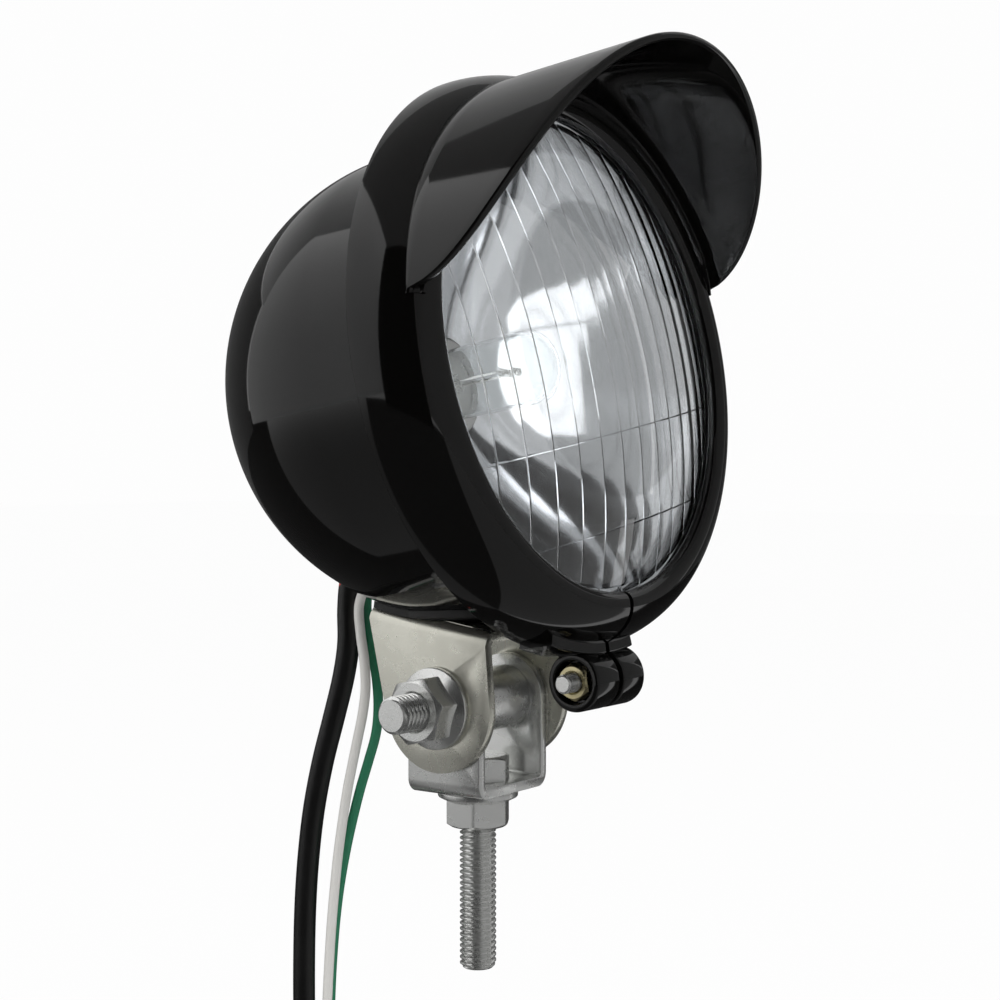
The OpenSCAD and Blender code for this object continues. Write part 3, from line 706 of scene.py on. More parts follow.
# %% [markdown]
# ## The stud
# The mounting bolt is a hex bolt pushed through the strap from inside, so that its thread is the
# stud that hangs below. The flange nut clamps the strap against the bolt's head. A boolean could
# weld thread, shank and head, but it leaves ragged faces in the thread. Closed shapes that overlap
# in one mesh look the same and stay clean.

# %% Mounting bolt and nut
STRAP_T = 2.2
HEAD_H = 5.4
STUD_FREE = 31
head_low = LOWER_Z + STRAP_T
bolt_shape = together(
    threaded("stud_thread", THREAD_R, -STUD_FREE, RUNOUT + 1, PITCH),
    shank(3.9, RUNOUT + 0.5, head_low + 0.5, 48),
    hexagon(HEX, head_low, head_low + HEAD_H),
)
dress("mounting_bolt", bolt_shape, ZINC, "stud")
upside_down = STUD @ (shift(0, 0, LOWER_Z) @ turn(180, "X"))
dress("mounting_nut", flange_nut(), ZINC, "stud", upside_down)
print("stud from", -STUD_FREE, "to", head_low + HEAD_H, "mm")

# %% [markdown]
# ## The pivot
# The pivot bolt runs along X through both brackets and a spacer tube. Its head is on the far side
# and its flange nut on the near side, with about five turns of thread showing. It is made as the
# stud was, in its own direction, so only the matrix that places it differs.

# %% Pivot bolt, nut and spacer
UPPER_HALF = 14.8
PIVOT_TAIL = 15.2
NUT_TURN = 13
SPACER_IN, SPACER_R, SPACER_HALF = 4.05, 7, 10.3
SIDEWAYS = STUD @ shift(0, 0, PIVOT_Z) @ turn(90, "Y")
pivot_shape = together(
    threaded("pivot_thread", THREAD_R, -UPPER_HALF - PIVOT_TAIL, -UPPER_HALF + 2, PITCH),
    shank(3.95, -UPPER_HALF + 1, UPPER_HALF + 1, 48),
    hexagon(HEX, UPPER_HALF, UPPER_HALF + HEAD_H),
)
dress("pivot_bolt", pivot_shape, ZINC, "yoke", SIDEWAYS)
nut_way = STUD @ shift(-UPPER_HALF, 0, PIVOT_Z) @ turn(-90, "Y") @ turn(NUT_TURN, "Z")
dress("pivot_nut", flange_nut(), ZINC, "yoke", nut_way)
spacer_section = fillet([
    (SPACER_IN, -SPACER_HALF, 0.3), (SPACER_R, -SPACER_HALF, 0.4),
    (SPACER_R, SPACER_HALF, 0.4), (SPACER_IN, SPACER_HALF, 0.3),
])
dress("spacer_tube", lathe(spacer_section, 96), ZINC, "yoke", SIDEWAYS)
print("pivot height", PIVOT_Z, "mm")

# %% [markdown]
# ## Brackets and pad
# Both brackets are straps folded on a press, with edges rolled a little by plating. They could be
# bent again from strips, but the CAD solids have the right folds, so a copy with softer edges is
# enough. The top of the upper one is dished to the bucket, and a rubber pad lies in the dish. The
# pad is wider than the dish: its thin edge, which is added here, fills the wedge that is left.

# %% Brackets and rubber pad
for node, material, body in (
    ("lower_bracket", ZINC, "yoke"), ("upper_bracket", WARM_ZINC, "head"),
    ("rubber_pad", RUBBER, "head"),
):
    piece = soften(node, material, body, 0.3)
    print(piece.name, len(piece.data.polygons), "faces")

low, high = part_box("upper_bracket")
WEB_HALF = (high[0] - low[0]) / 2 / MM
WEB_BACK = 20.8
SKIRT_IN, SKIRT_OUT, SKIRT_SWEEP, SKIRT_LIFT = 11.0, 20.5, 115, 0.02


def dome_height(ball, r):
    """The underside of a ball round the lamp's centre, at a distance from its upright axis."""
    return DOME_UP - math.sqrt(ball**2 - r**2)


def pad_skirt(half_width, back, steps=92, cuts=8):
    """The pad's edge between the dished web below and the bucket above."""
    rings = []
    for i in range(steps + 1):
        t = math.radians(-SKIRT_SWEEP + 2 * SKIRT_SWEEP * i / steps)
        to_side = half_width / max(1e-6, abs(math.sin(t)))
        to_back = back / max(1e-6, math.cos(t))
        out = min(SKIRT_OUT, to_side, to_back)
        inside = min(SKIRT_IN, out - 0.5)
        reach = [inside + (out - inside) * k / cuts for k in range(cuts + 1)]
        section = [
            (r, min(WEB_H, dome_height(DISH_R - SEAT_GAP, r)) + SKIRT_LIFT) for r in reach
        ]
        section += [(r, dome_height(DOME_R + SEAT_GAP, r)) for r in reversed(reach)]
        rings.append([(r * math.sin(t), DOME_BACK + r * math.cos(t), z) for r, z in section])
    return skin(rings)


skirt_shape = pad_skirt(WEB_HALF - 0.3, WEB_BACK - DOME_BACK - 0.2)
skirt = make("rubber_pad_skirt", skirt_shape, RUBBER, "head", PIVOT)
print("skirt:", len(skirt.data.polygons), "faces")

# %% [markdown]
# ## The neck
# One bolt holds the whole lamp to the upper bracket: its head and a shaped plate are inside the
# bucket, and its nut is under the dish. Its heights could be typed in, but here they come from the
# balls that it clamps, so that it fits by itself.

# %% Neck bolt, plate and nut
NECK_R = 3.0
INNER_R = DOME_R - 1.2
NECK_OFF = DOME_BACK - NECK_BACK
NECK_NUT_H, NECK_AF, NECK_HEAD_H = 4.6, 10, 4
neck_head_up = dome_height(INNER_R, NECK_OFF) + 4
neck_nut_top = dome_height(DISH_R + STRAP_T, NECK_OFF) - 0.7
neck_tip = neck_nut_top - NECK_NUT_H - 0.4
neck_bolt_shape = together(
    threaded("neck_thread", NECK_R, neck_tip, neck_nut_top + 3, 1.0),
    shank(2.95, neck_nut_top + 2, neck_head_up + 1, 40),
    hexagon(NECK_AF, neck_head_up, neck_head_up + NECK_HEAD_H),
)
dress("neck_bolt", neck_bolt_shape, ZINC, "head", NECK)
neck_nut_shape = hexagon(
    NECK_AF, neck_nut_top - NECK_NUT_H, neck_nut_top, low_cut=True, bore=NECK_R
)
dress("neck_nut", neck_nut_shape, ZINC, "head", NECK)
soften("neck_plate", ZINC, "head", 0.2)
neck_top = neck_head_up + NECK_HEAD_H
print("neck bolt from", round(neck_tip, 2), "to", round(neck_top, 2), "mm above the pivot")

# %% [markdown]
# ## The bucket
# The bucket was drawn from sheet: half a ball, a short straight wall, a cove and a flange that
# the rim hides. Turned from one section with hundreds of steps, it reflects cleanly, which a
# faceted ball wouldn't.

# %% Bucket
FACE = 33
RIM_BACK = FACE - 12.5
SHELL_T, RIM_T = 1.2, 1.4
LIP_R = 50.0
CREST_R = LIP_R + 2.4
RIM_BULGE = 9.0
RIM_R = CREST_R + RIM_BULGE
COVE_R = 3.0
flange_back = RIM_BACK + RIM_T + SEAT_GAP
flange_r = RIM_R - RIM_T - 0.3
cove = (DOME_R + COVE_R, flange_back - COVE_R)
bucket_section = (
    arc((0, 0), DOME_R, -90, 0, 72)
    + arc(cove, COVE_R, 180, 90, 8)
    + fillet([(flange_r, flange_back, 0.5), (flange_r, flange_back + SHELL_T, 0.5)])
    + arc(cove, COVE_R + SHELL_T, 90, 180, 8)
    + arc((0, 0), INNER_R, 0, -90, 60)
)
bucket_section[0] = (0, -DOME_R)
bucket_section[-1] = (0, -INNER_R)
bucket = dress("bucket", lathe(bucket_section, 256, closed=False), BLACK_PAINT, "head", LAMP)
print("bucket:", len(bucket.data.polygons), "faces")

# %% [markdown]
# ## The rim
# The rim is a rolled ring whose face bulges forward and turns in over the glass. It is split at
# the bottom, and a screw through two barrels pulls it tight. Its section runs round the outside
# from the hem at the back, over the face and the lip, and back along the inside of the sheet. A
# torus would be quicker, but it has neither lip nor hem, and gloss paint shows each of them.

# %% Rim ring with its split
CREST_H = 3.0
LIP_DROP = 2.4
SPLIT_W = 1.4
HEM = 3.0


def rim_face(degrees, grow):
    t = math.radians(degrees)
    depth = FACE - RIM_BACK + CREST_H
    return CREST_R + (RIM_BULGE + grow) * math.cos(t), RIM_BACK + (depth + grow) * math.sin(t)


def rim_lip(degrees, grow):
    t = math.radians(degrees)
    return (
        CREST_R - (CREST_R - LIP_R + grow) * math.sin(t),
        FACE + CREST_H - LIP_DROP + (LIP_DROP + grow) * math.cos(t),
    )


rim_section = (
    fillet([(RIM_R - HEM, RIM_BACK + RIM_T, 0.5), (RIM_R - HEM, RIM_BACK, 0.5)])
    + [(RIM_R - 1.9, RIM_BACK), (RIM_R - 0.75, RIM_BACK)]
    + [(RIM_R - 0.3, RIM_BACK + 0.12), (RIM_R - 0.02, RIM_BACK + 0.45)]
    + [rim_face(3 + 87 * k / 40, 0) for k in range(41)]
    + [rim_lip(6 + 84 * k / 14, 0) for k in range(15)]
    + [(LIP_R, FACE + 0.3), (LIP_R + 0.15, FACE), (LIP_R + RIM_T, FACE)]
    + [rim_lip(75 - 75 * k / 6, -RIM_T) for k in range(7)]
    + [rim_face(82 - 76 * k / 16, -RIM_T) for k in range(17)]
)
half_gap = math.degrees(math.asin(SPLIT_W / 2 / (RIM_R - 4)))
rim_ring = lathe(rim_section, 256, -90 + half_gap, 270 - half_gap)
print("rim section:", len(rim_section), "points")

# %% [markdown]
# The clamp under the rim is a curved tab with two barrels, cut by the same split. The left barrel
# has a recess for the nut and the right one for the screw's head. Both could be cut from a block,
# but each is a turned shape at heart: the barrels about the screw, and the tab about the lamp's
# own axis, as a short stretch of strip.

# %% Clamp barrels
BARREL_R, BARREL_HALF = 6.2, 9.2
BARREL_OUT = RIM_R + 5.8
BARREL_BACK = 8
CLAMP = LAMP @ shift(0, -BARREL_OUT, FACE - BARREL_BACK) @ turn(90, "Y")
SCREW_R, SCREW_HEAD_R, SCREW_HEAD_H = 2.0, 3.5, 2.6
SCREW_NUT_H, SCREW_NUT_AF, SCREW_TAIL = 3.2, 7, 4
TAB_T, TAB_LONG, TAB_W = 0.9, 20, 8.1


def barrel(end, recess_r, recess_deep):
    """One barrel along Z from the split out to its open end, with its recess."""
    side = 1 if end > 0 else -1
    inner, floor = side * SPLIT_W / 2, end - side * recess_deep
    bore = SCREW_R + 0.1
    section = fillet([
        (bore, inner, 0), (BARREL_R, inner, 0.6), (BARREL_R, end, 0.9),
        (recess_r, end, 0.4), (recess_r, floor, 0.3), (bore, floor, 0.2),
    ])
    return lathe(section, 72)


def tab(start, stop):
    """The tab between two places across the lamp, as a strip that follows the rim."""
    radius, inner = RIM_R + TAB_T, RIM_R - 2.4
    back, front = RIM_BACK + 0.05, RIM_BACK + TAB_W
    section = fillet([
        (inner, back), (radius, back, 0.35), (radius, front, 0.5), (inner, front)
    ])
    angles = [math.degrees(math.asin(x / radius)) for x in (start, stop)]
    return lathe(section, 24, -90 + angles[0], -90 + angles[1])


barrels = together(
    barrel(BARREL_HALF, SCREW_HEAD_R + 0.3, SCREW_HEAD_H + 0.4),
    barrel(-BARREL_HALF, SCREW_NUT_AF * 0.65, SCREW_NUT_H - 0.2),
)
tabs = together(tab(-TAB_LONG, -SPLIT_W / 2), tab(SPLIT_W / 2, BARREL_HALF + TAB_T / 2))
rim_shape = together(rim_ring, moved(barrels, LAMP.inverted() @ CLAMP), tabs)
rim = dress("rim", rim_shape, BLACK_PAINT, "head", LAMP)
print("rim:", len(rim.data.polygons), "faces")

# %% Clamp screw and nut
screw_end = -BARREL_HALF - SCREW_TAIL + 0.2
seat, top = BARREL_HALF - SCREW_HEAD_H, BARREL_HALF - 0.4
socket_floor = BARREL_HALF - 1.9
screw_head = fillet([
    (0, seat - 0.4), (SCREW_HEAD_R, seat - 0.4, 0.2), (SCREW_HEAD_R, top, 0.6), (1.9, top, 0.1),
    (1.6, socket_floor, 0), (0, socket_floor),
])
screw_shape = together(
    threaded("clamp_thread", SCREW_R, screw_end, 0, 0.7),
    shank(1.95, -1, seat, 32),
    lathe(screw_head, 48, closed=False),
)
dress("clamp_screw", screw_shape, ZINC, "head", CLAMP)
nut_low = -BARREL_HALF - 0.2
nut_shape = hexagon(
    SCREW_NUT_AF, nut_low, nut_low + SCREW_NUT_H, low_cut=True, bore=SCREW_R, edge=0.08
)
dress("clamp_nut", nut_shape, YELLOW_ZINC, "head", CLAMP)
print("clamp screw end at", screw_end, "mm")

# %% [markdown]
# ## The visor
# The visor is one pressed sheet: a flange that lies on the rim's shoulder and a wall that stands
# on it, longest over the top. Each step round the lamp gets its own section, as long as the front
# edge is there, with a full round at the edge. A lathe can't do that, as it gives every angle the
# same section, so `skin` joins sections that differ. At both ends flange and wall taper off.

# %% Visor
VISOR_LEN, VISOR_T, VISOR_TURN = 37, 1.8, 4
VISOR_R = RIM_R - 3.2
VISOR_FRONT_R = VISOR_R - 1.2
VISOR_TIP, VISOR_POWER = 13.5, 0.55
SIDE_GAP, FLANGE_T, FLANGE_W = 0.1, 1.4, 4.8
VISOR_LIMIT = math.degrees(math.acos((VISOR_TIP - 0.8) / VISOR_R))
TAPER_DEGREES = 9


def rim_height(radius, grow):
    """How far forward the rim's shoulder stands at a radius, or a sheet that lies on it."""
    depth = FACE - RIM_BACK + CREST_H + grow
    share = (radius - CREST_R) / (RIM_BULGE + grow)
    return RIM_BACK + depth * math.sqrt(max(0, 1 - share**2))


def visor_reach(height):
    share = max(0, (height - VISOR_TIP) / (VISOR_FRONT_R - VISOR_TIP))
    return FACE + VISOR_LEN * share**VISOR_POWER


def visor_edge(degrees):
    """How far forward the wall reaches at an angle from the top, by stepping along the wall."""
    c = math.cos(math.radians(degrees))
    reach = FACE
    for _ in range(30):
        t = (reach - FACE) / VISOR_LEN
        radius = VISOR_R + (VISOR_FRONT_R - VISOR_R) * t
        reach = 0.5 * (reach + visor_reach(radius * c))
    return reach


def visor_section(degrees):
    """The closed section at an angle: up the outside, over the lip, down the inside."""
    ease = min(1, (VISOR_LIMIT - abs(degrees)) / TAPER_DEGREES)
    plate, width = FLANGE_T * (0.25 + 0.75 * ease), FLANGE_W * (0.45 + 0.55 * ease)
    foot = rim_height(VISOR_R, SIDE_GAP)
    top = max(visor_edge(degrees), foot + plate + 0.6 + 0.5 * ease)
    lean = (VISOR_R - VISOR_FRONT_R) / VISOR_LEN
    lip, inner = VISOR_T / 2, VISOR_R - VISOR_T

    def wall(height, inside):
        return VISOR_R - (height - foot) * lean - inside, height

    flange_out, flange_in = VISOR_R - 0.4, VISOR_R - 0.4 - width
    under = (flange_in, inner - 1, inner, flange_out, VISOR_R - 0.1)
    points = [(r, rim_height(r, SIDE_GAP)) for r in under]
    points += [wall(foot + 0.3 + (top - foot - 1.2) * k / 8, 0) for k in range(9)]
    for t in map(math.radians, (22, 45, 68, 90, 112, 135, 158, 180)):
        points.append(wall(top - lip + lip * math.sin(t), lip - lip * math.cos(t)))
    base = rim_height(inner, SIDE_GAP + plate) + 0.3 + 0.6 * ease
    points += [wall(top - lip - (top - lip - base) * k / 8, VISOR_T) for k in range(1, 9)]
    points += [(inner - 0.25, base - 0.5 * ease), (inner - 0.9 * ease - 0.01, base - 0.85 * ease)]
    over = (inner - 2 * ease - 0.02, flange_in + 0.5)
    points += [(r, rim_height(r, SIDE_GAP + plate)) for r in over]
    return points + [(flange_in, rim_height(flange_in, SIDE_GAP + plate) - 0.2 * plate)]


def visor_shape(steps=180):
    rings = []
    for i in range(steps + 1):
        degrees = -VISOR_LIMIT + 2 * VISOR_LIMIT * i / steps
        t = math.radians(degrees)
        rings.append([(r * math.sin(t), r * math.cos(t), z) for r, z in visor_section(degrees)])
    return skin(rings)


dress("visor", visor_shape(), BLACK_PAINT, "head", LAMP @ turn(VISOR_TURN, "Z"))
print("visor reaches", round(visor_edge(0) - FACE, 1), "mm before the glass plane")

# %% [markdown]
# ## The glass
# The glass is domed outside. Inside it is pressed with upright flutes, each a very shallow curve
# with a fine crease between it and the next, and with two steps across that part it into blocks.
# A Geometry Nodes tree presses the pattern: it takes a flat disc and gives each point the height
# of the dome less the flute's curve, the crease and the steps. Named inputs keep each one's size.

# %% Pattern of the glass
GLASS_RISE, GLASS_T, GLASS_R, GLASS_EDGE_T = 10.0, 3.0, LIP_R + 3.5, 2.6
SWELL_R = LIP_R + 1
GLASS_FRONT = FACE - 0.85
GLASS_BACK = GLASS_FRONT - GLASS_EDGE_T - SEAT_GAP
SPHERE_R = (SWELL_R**2 + GLASS_RISE**2) / (2 * GLASS_RISE)
SPHERE_Z = GLASS_FRONT + GLASS_RISE - SPHERE_R
FLUTE_W, GLASS_TURN = 7.2, 9
FLUTE_D, CREASE_D, CREASE_W = 0.07, 0.13, 0.34
STEPS_ACROSS = (-17.0, -36.0)


def groove(tree, distance, width, depth):
    """A smooth groove: full depth where the distance is nought, none at half the width."""
    fade = add(
        tree, "ShaderNodeMapRange",
        {
            "Value": calc(tree, "ABSOLUTE", distance), "To Min": 1, "To Max": 0,
            "From Max": calc(tree, "DIVIDE", width, 2.0),
        },
        interpolation_type="SMOOTHSTEP",
    )
    return calc(tree, "MULTIPLY", fade.outputs["Result"], depth)


def make_flute_tree():
    """Lifts each point of a flat disc to the fluted inner face of a domed glass."""
    tree, given, leave = geo_tree(
        "Fluted face",
        [
            ("Dome radius", 100.0), ("Dome centre", 0.0), ("Flute width", 7.2),
            ("Flute depth", 0.1), ("Crease width", 0.3), ("Crease depth", 0.1),
            ("Upper step", 0.0), ("Lower step", 0.0),
        ],
    )

    def m(operation, *values):
        return calc(tree, operation, *values)

    x, y, _ = place_of(tree)
    width, depth = given["Crease width"], given["Crease depth"]
    share = m("DIVIDE", x, given["Flute width"])
    off = m("SUBTRACT", share, m("ROUND", share))
    bow = m("MULTIPLY", m("MULTIPLY", off, off), 4.0)
    from_edge = m("MULTIPLY", m("SUBTRACT", 0.5, m("ABSOLUTE", off)), given["Flute width"])
    sunk = m("MULTIPLY", bow, given["Flute depth"])
    sunk = m("ADD", sunk, groove(tree, from_edge, width, depth))
    for step in ("Upper step", "Lower step"):
        to_step = m("SUBTRACT", y, given[step])
        sunk = m("ADD", sunk, groove(tree, to_step, width, m("MULTIPLY", depth, 0.5)))
    across = m("ADD", m("MULTIPLY", x, x), m("MULTIPLY", y, y))
    whole = m("MULTIPLY", given["Dome radius"], given["Dome radius"])
    dome = m("ADD", m("SQRT", m("SUBTRACT", whole, across)), given["Dome centre"])
    return end_tree(tree, given, leave, given["Geometry"], x, y, m("SUBTRACT", dome, sunk))


FLUTES = make_flute_tree()

# %% [markdown]
# A groove a third of a millimetre wide needs points just where it is. The disc is a grid whose
# lines crowd together at the creases and steps and lie far apart between them. Lines that would
# run past the disc's round edge stop on it.


# %% A disc with its lines at the creases
def crowded(marks, radius, coarse):
    """Places along a line: on each mark, four either side of it, and evenly between."""
    near = (0.06, 0.12, 0.17, 0.3)
    places = {-radius, radius}
    for mark in marks:
        places |= {mark} | {mark + side * step for side in (-1, 1) for step in near}
    places = sorted(p for p in places if -radius <= p <= radius)
    line = []
    for left, right in zip(places, places[1:]):
        count = max(1, round((right - left) / coarse))
        line += [left + (right - left) * j / count for j in range(count)]
    return line + [radius]


def fluted_disc(radius):
    creases = [(k + 0.5) * FLUTE_W for k in range(-8, 8)]
    columns, rows = crowded(creases, radius, 0.9), crowded(STEPS_ACROSS, radius, 1.3)
    lines = []
    for x in columns:
        half = math.sqrt(max(0, radius * radius - x * x))
        lines.append([(x, max(-half, min(half, y)), 0) for y in rows])
    return skin(lines, closed=False)


def pressed(radius):
    """The fluted inner face as a mesh."""
    mesh = bpy.data.meshes.new("fluted_disc")
    points, faces = fluted_disc(radius)
    mesh.from_pydata(points, [], faces)
    return grown("fluted_disc", FLUTES, {
        "Dome radius": SPHERE_R - GLASS_T, "Dome centre": SPHERE_Z,
        "Flute width": FLUTE_W, "Flute depth": FLUTE_D,
        "Crease width": CREASE_W, "Crease depth": CREASE_D,
        "Upper step": STEPS_ACROSS[0], "Lower step": STEPS_ACROSS[1], "Material": LENS_GLASS,
    }, mesh)


# %% [markdown]
# The pressed face is closed to a solid in bmesh: its rim goes down to the flat back, out to the
# edge, round the rolled corner and up over the dome in rings that end in one point.


# %% Lens
def next_ring(work, ring, radius, height):
    """A ring of points on the same angles, joined to the last one with faces."""
    fresh = []
    for v in ring:
        t = math.atan2(v.co.y, v.co.x)
        fresh.append(work.verts.new((radius * math.cos(t), radius * math.sin(t), height)))
    for k in range(len(ring)):
        m = (k + 1) % len(ring)
        work.faces.new((ring[k], ring[m], fresh[m], fresh[k]))
    return fresh


def closed_lens(roll=0.3, dome_rings=40):
    mesh = pressed(LIP_R - 0.4)
    work = bmesh.new()
    work.from_mesh(mesh)
    bmesh.ops.remove_doubles(work, verts=work.verts, dist=0.004)
    bmesh.ops.dissolve_degenerate(work, edges=work.edges, dist=0.001)
    edge = {v for e in work.edges if e.is_boundary for v in e.verts}
    ring = sorted(edge, key=lambda v: math.atan2(v.co.y, v.co.x))
    places = [
        (LIP_R - 0.4, GLASS_BACK), (GLASS_R - roll, GLASS_BACK), (GLASS_R, GLASS_BACK + roll),
        (GLASS_R, GLASS_FRONT - roll), (GLASS_R - roll, GLASS_FRONT),
        (SWELL_R + 0.4, GLASS_FRONT),
    ]
    for k in range(dome_rings):
        r = SWELL_R * math.cos(math.pi / 2 * k / dome_rings)
        places.append((r, SPHERE_Z + math.sqrt(SPHERE_R**2 - r * r)))
    for radius, height in places:
        ring = next_ring(work, ring, radius, height)
    tip = work.verts.new((0, 0, SPHERE_Z + SPHERE_R))
    for k in range(len(ring)):
        work.faces.new((ring[k], ring[(k + 1) % len(ring)], tip))
    print("open edges of the glass:", sum(e.is_boundary for e in work.edges))
    work.to_mesh(mesh)
    work.free()
    return mesh


lens = finish(
    "lens_dressed", closed_lens(), LENS_GLASS, "head", ["lens"], LAMP @ turn(GLASS_TURN, "Z"),
    sharp=24, merge=0.0005,
)
print("lens:", len(lens.data.polygons), "faces")

# %% [markdown]
# ## Behind the glass
# The bowl is a paraboloid with a flat flange that the gasket holds against the glass. The bulb
# sits on its axis, and a wire spring and a plug hold it from behind. A sphere could stand in for
# the bowl, but its reflections would be in the wrong places, and the whole studio shows in it.

# %% Reflector
BOWL_LIP = GLASS_BACK - SEAT_GAP
BOWL_R, BOWL_DEPTH, BOWL_T, HOLE_R = LIP_R - 1.6, 32.7, 1.0, 11.0
BOWL_NECK = BOWL_LIP - BOWL_DEPTH
BULB_SEAT = BOWL_NECK - 5


def bowl_height(r):
    return BOWL_LIP - BOWL_DEPTH * (BOWL_R**2 - r * r) / (BOWL_R**2 - HOLE_R**2)


bowl_radii = [BOWL_R - (BOWL_R - HOLE_R) * k / 64 for k in range(65)]
bowl_section = (
    [(GLASS_R, BOWL_LIP - BOWL_T), (GLASS_R, BOWL_LIP), (BOWL_R + 0.6, BOWL_LIP)]
    + [(r, bowl_height(r)) for r in bowl_radii]
    + [(HOLE_R, BULB_SEAT), (HOLE_R + BOWL_T, BULB_SEAT), (HOLE_R + BOWL_T, BOWL_NECK - BOWL_T)]
    + [(r + 0.4, bowl_height(r) - BOWL_T) for r in reversed(bowl_radii[1:-1])]
    + [(BOWL_R + 0.8, BOWL_LIP - BOWL_T)]
)
dress("reflector", lathe(bowl_section, 192), BOWL, "head", LAMP)
print("bowl mouth", BOWL_R, "mm, depth", BOWL_DEPTH, "mm")

# %% [markdown]
# The bulb's envelope is blown glass with a thin wall, so it needs an inner face too: as a solid
# it would bend the light like a marble. Inside it are two posts and the filament's coil.

# %% Bulb envelope
BULB_R, BULB_LEN, COLLAR, BULB_WALL = 8.0, 27.0, 6.0, 0.7
glass_start = BULB_SEAT + COLLAR
dome_centre = (0, glass_start + BULB_LEN - BULB_R)
bulb_in = BULB_R - BULB_WALL
bulb_section = (
    [(BULB_R - 0.6, glass_start), (BULB_R, glass_start + 0.8)]
    + arc(dome_centre, BULB_R, 0, 90, 20)
    + arc(dome_centre, bulb_in, 90, 0, 16)
    + [(bulb_in, glass_start + 1.2), (bulb_in - 0.5, glass_start + 0.5)]
    + [(bulb_in - 0.8, glass_start)]
)
bulb_section = [(max(r, 0), z) for r, z in bulb_section]
bulb = dress("bulb", lathe(bulb_section, 96), GLASS, "head", LAMP)
print("bulb:", len(bulb.data.polygons), "faces")


# %% Filament
def tube(line, radius, sides=8):
    """A round wire along a line of points, with closed ends."""
    rings, one = [], None
    for i, here in enumerate(line):
        ahead = line[min(i + 1, len(line) - 1)] - line[max(i - 1, 0)]
        if one is None:
            one = ahead.orthogonal().normalized()
        else:
            one = (one - ahead * one.dot(ahead) / ahead.length_squared).normalized()
        two = ahead.normalized().cross(one)
        rings.append(
            [here + (one * math.cos(t) + two * math.sin(t)) * radius for t in turns_of(sides)]
        )
    return skin(rings)


POST_UP, POST_X, POST_R = 15.0, 3.2, 0.3
COIL_R, COIL_TURNS, COIL_STEPS, COIL_WIRE_R = 0.8, 9, 144, 0.16
post_top = glass_start + POST_UP
posts = [
    tube([Vector((x, 0, glass_start - 0.5)), Vector((x, 0, post_top))], POST_R)
    for x in (-POST_X, POST_X)
]
coil = []
for k in range(COIL_STEPS + 1):
    t = 2 * math.pi * COIL_TURNS * k / COIL_STEPS
    x = -POST_X + 2 * POST_X * k / COIL_STEPS
    coil.append(Vector((x, COIL_R * math.cos(t), post_top - 0.3 + COIL_R * math.sin(t))))
wires = together(*posts, tube(coil, COIL_WIRE_R, 6))
filament = make("bulb_filament", wires, BULB_METAL, "head", LAMP)
print("filament:", len(filament.data.polygons), "faces")

# %% Bulb base
BASE_R, COLLAR_R = 15, 10.7
base_low, base_top = BULB_SEAT - 1.05, BULB_SEAT - SEAT_GAP
base_section = fillet([
    (0, base_low), (BASE_R, base_low, 0.2), (BASE_R, base_top, 0.2), (COLLAR_R, base_top, 0),
    (COLLAR_R, glass_start - 0.1, 0.6), (0, glass_start - 0.1),
])
bulb_base = dress("bulb_base", lathe(base_section, 96, closed=False), BULB_METAL, "head", LAMP)
print("bulb base:", len(bulb_base.data.polygons), "faces")

# %% Gasket, clips, spring and plug
gasket_front, gasket_back = FACE - SEAT_GAP, BOWL_LIP - BOWL_T - SEAT_GAP
gasket_section = fillet([
    (LIP_R + 1, gasket_front, 0.3), (GLASS_R + 1.5, gasket_front, 0.4),
    (GLASS_R + 1.5, gasket_back - 0.8, 0.4), (GLASS_R - 2, gasket_back - 0.8, 0.3),
    (GLASS_R - 2, gasket_back), (GLASS_R + SEAT_GAP, gasket_back),
    (GLASS_R + SEAT_GAP, GLASS_FRONT + SEAT_GAP), (LIP_R + 1, GLASS_FRONT + SEAT_GAP, 0.2),
])
dress("lens_gasket", lathe(gasket_section, 160), RUBBER, "head", LAMP)
clips = soften("lens_clips", SPRING_STEEL, "head", 0.12)
spring = soften("bulb_clip", SPRING_STEEL, "head", 0.1, angle=60)
plug = soften("bulb_socket", DARK_PLASTIC, "head", 0.4)
print("held from behind by:", [piece.name for piece in (clips, spring, plug)])

# %% [markdown]
# ## Grommet and leads
# A rubber grommet lines the hole in the bucket. A black sleeve, a white wire and a green wire
# leave it and hang down. Each is a curve with a round section, smooth through the same points as
# the CAD solids. A chain of cylinders would kink at each joint, and one spline also gives the
# lead's length, which is printed. The sleeve holds the red wire, which shows above and below it.

# %% Grommet
GROMMET_R, GROMMET_T = 6.5, 1.6
grommet_section = fillet([
    (0, -2.6), (GROMMET_R - 1.5, -2.6, 0.4), (GROMMET_R - 1.5, -0.1), (GROMMET_R, -0.35, 0.2),
    (GROMMET_R, 0.9, 0.6), (GROMMET_R - 1.4, GROMMET_T, 0.4), (0, GROMMET_T),
])
grommet_shape = lathe(grommet_section, 72, closed=False)
grommet = dress("wire_grommet", grommet_shape, RUBBER, "head", GROMMET)
print("grommet:", len(grommet.data.polygons), "faces")

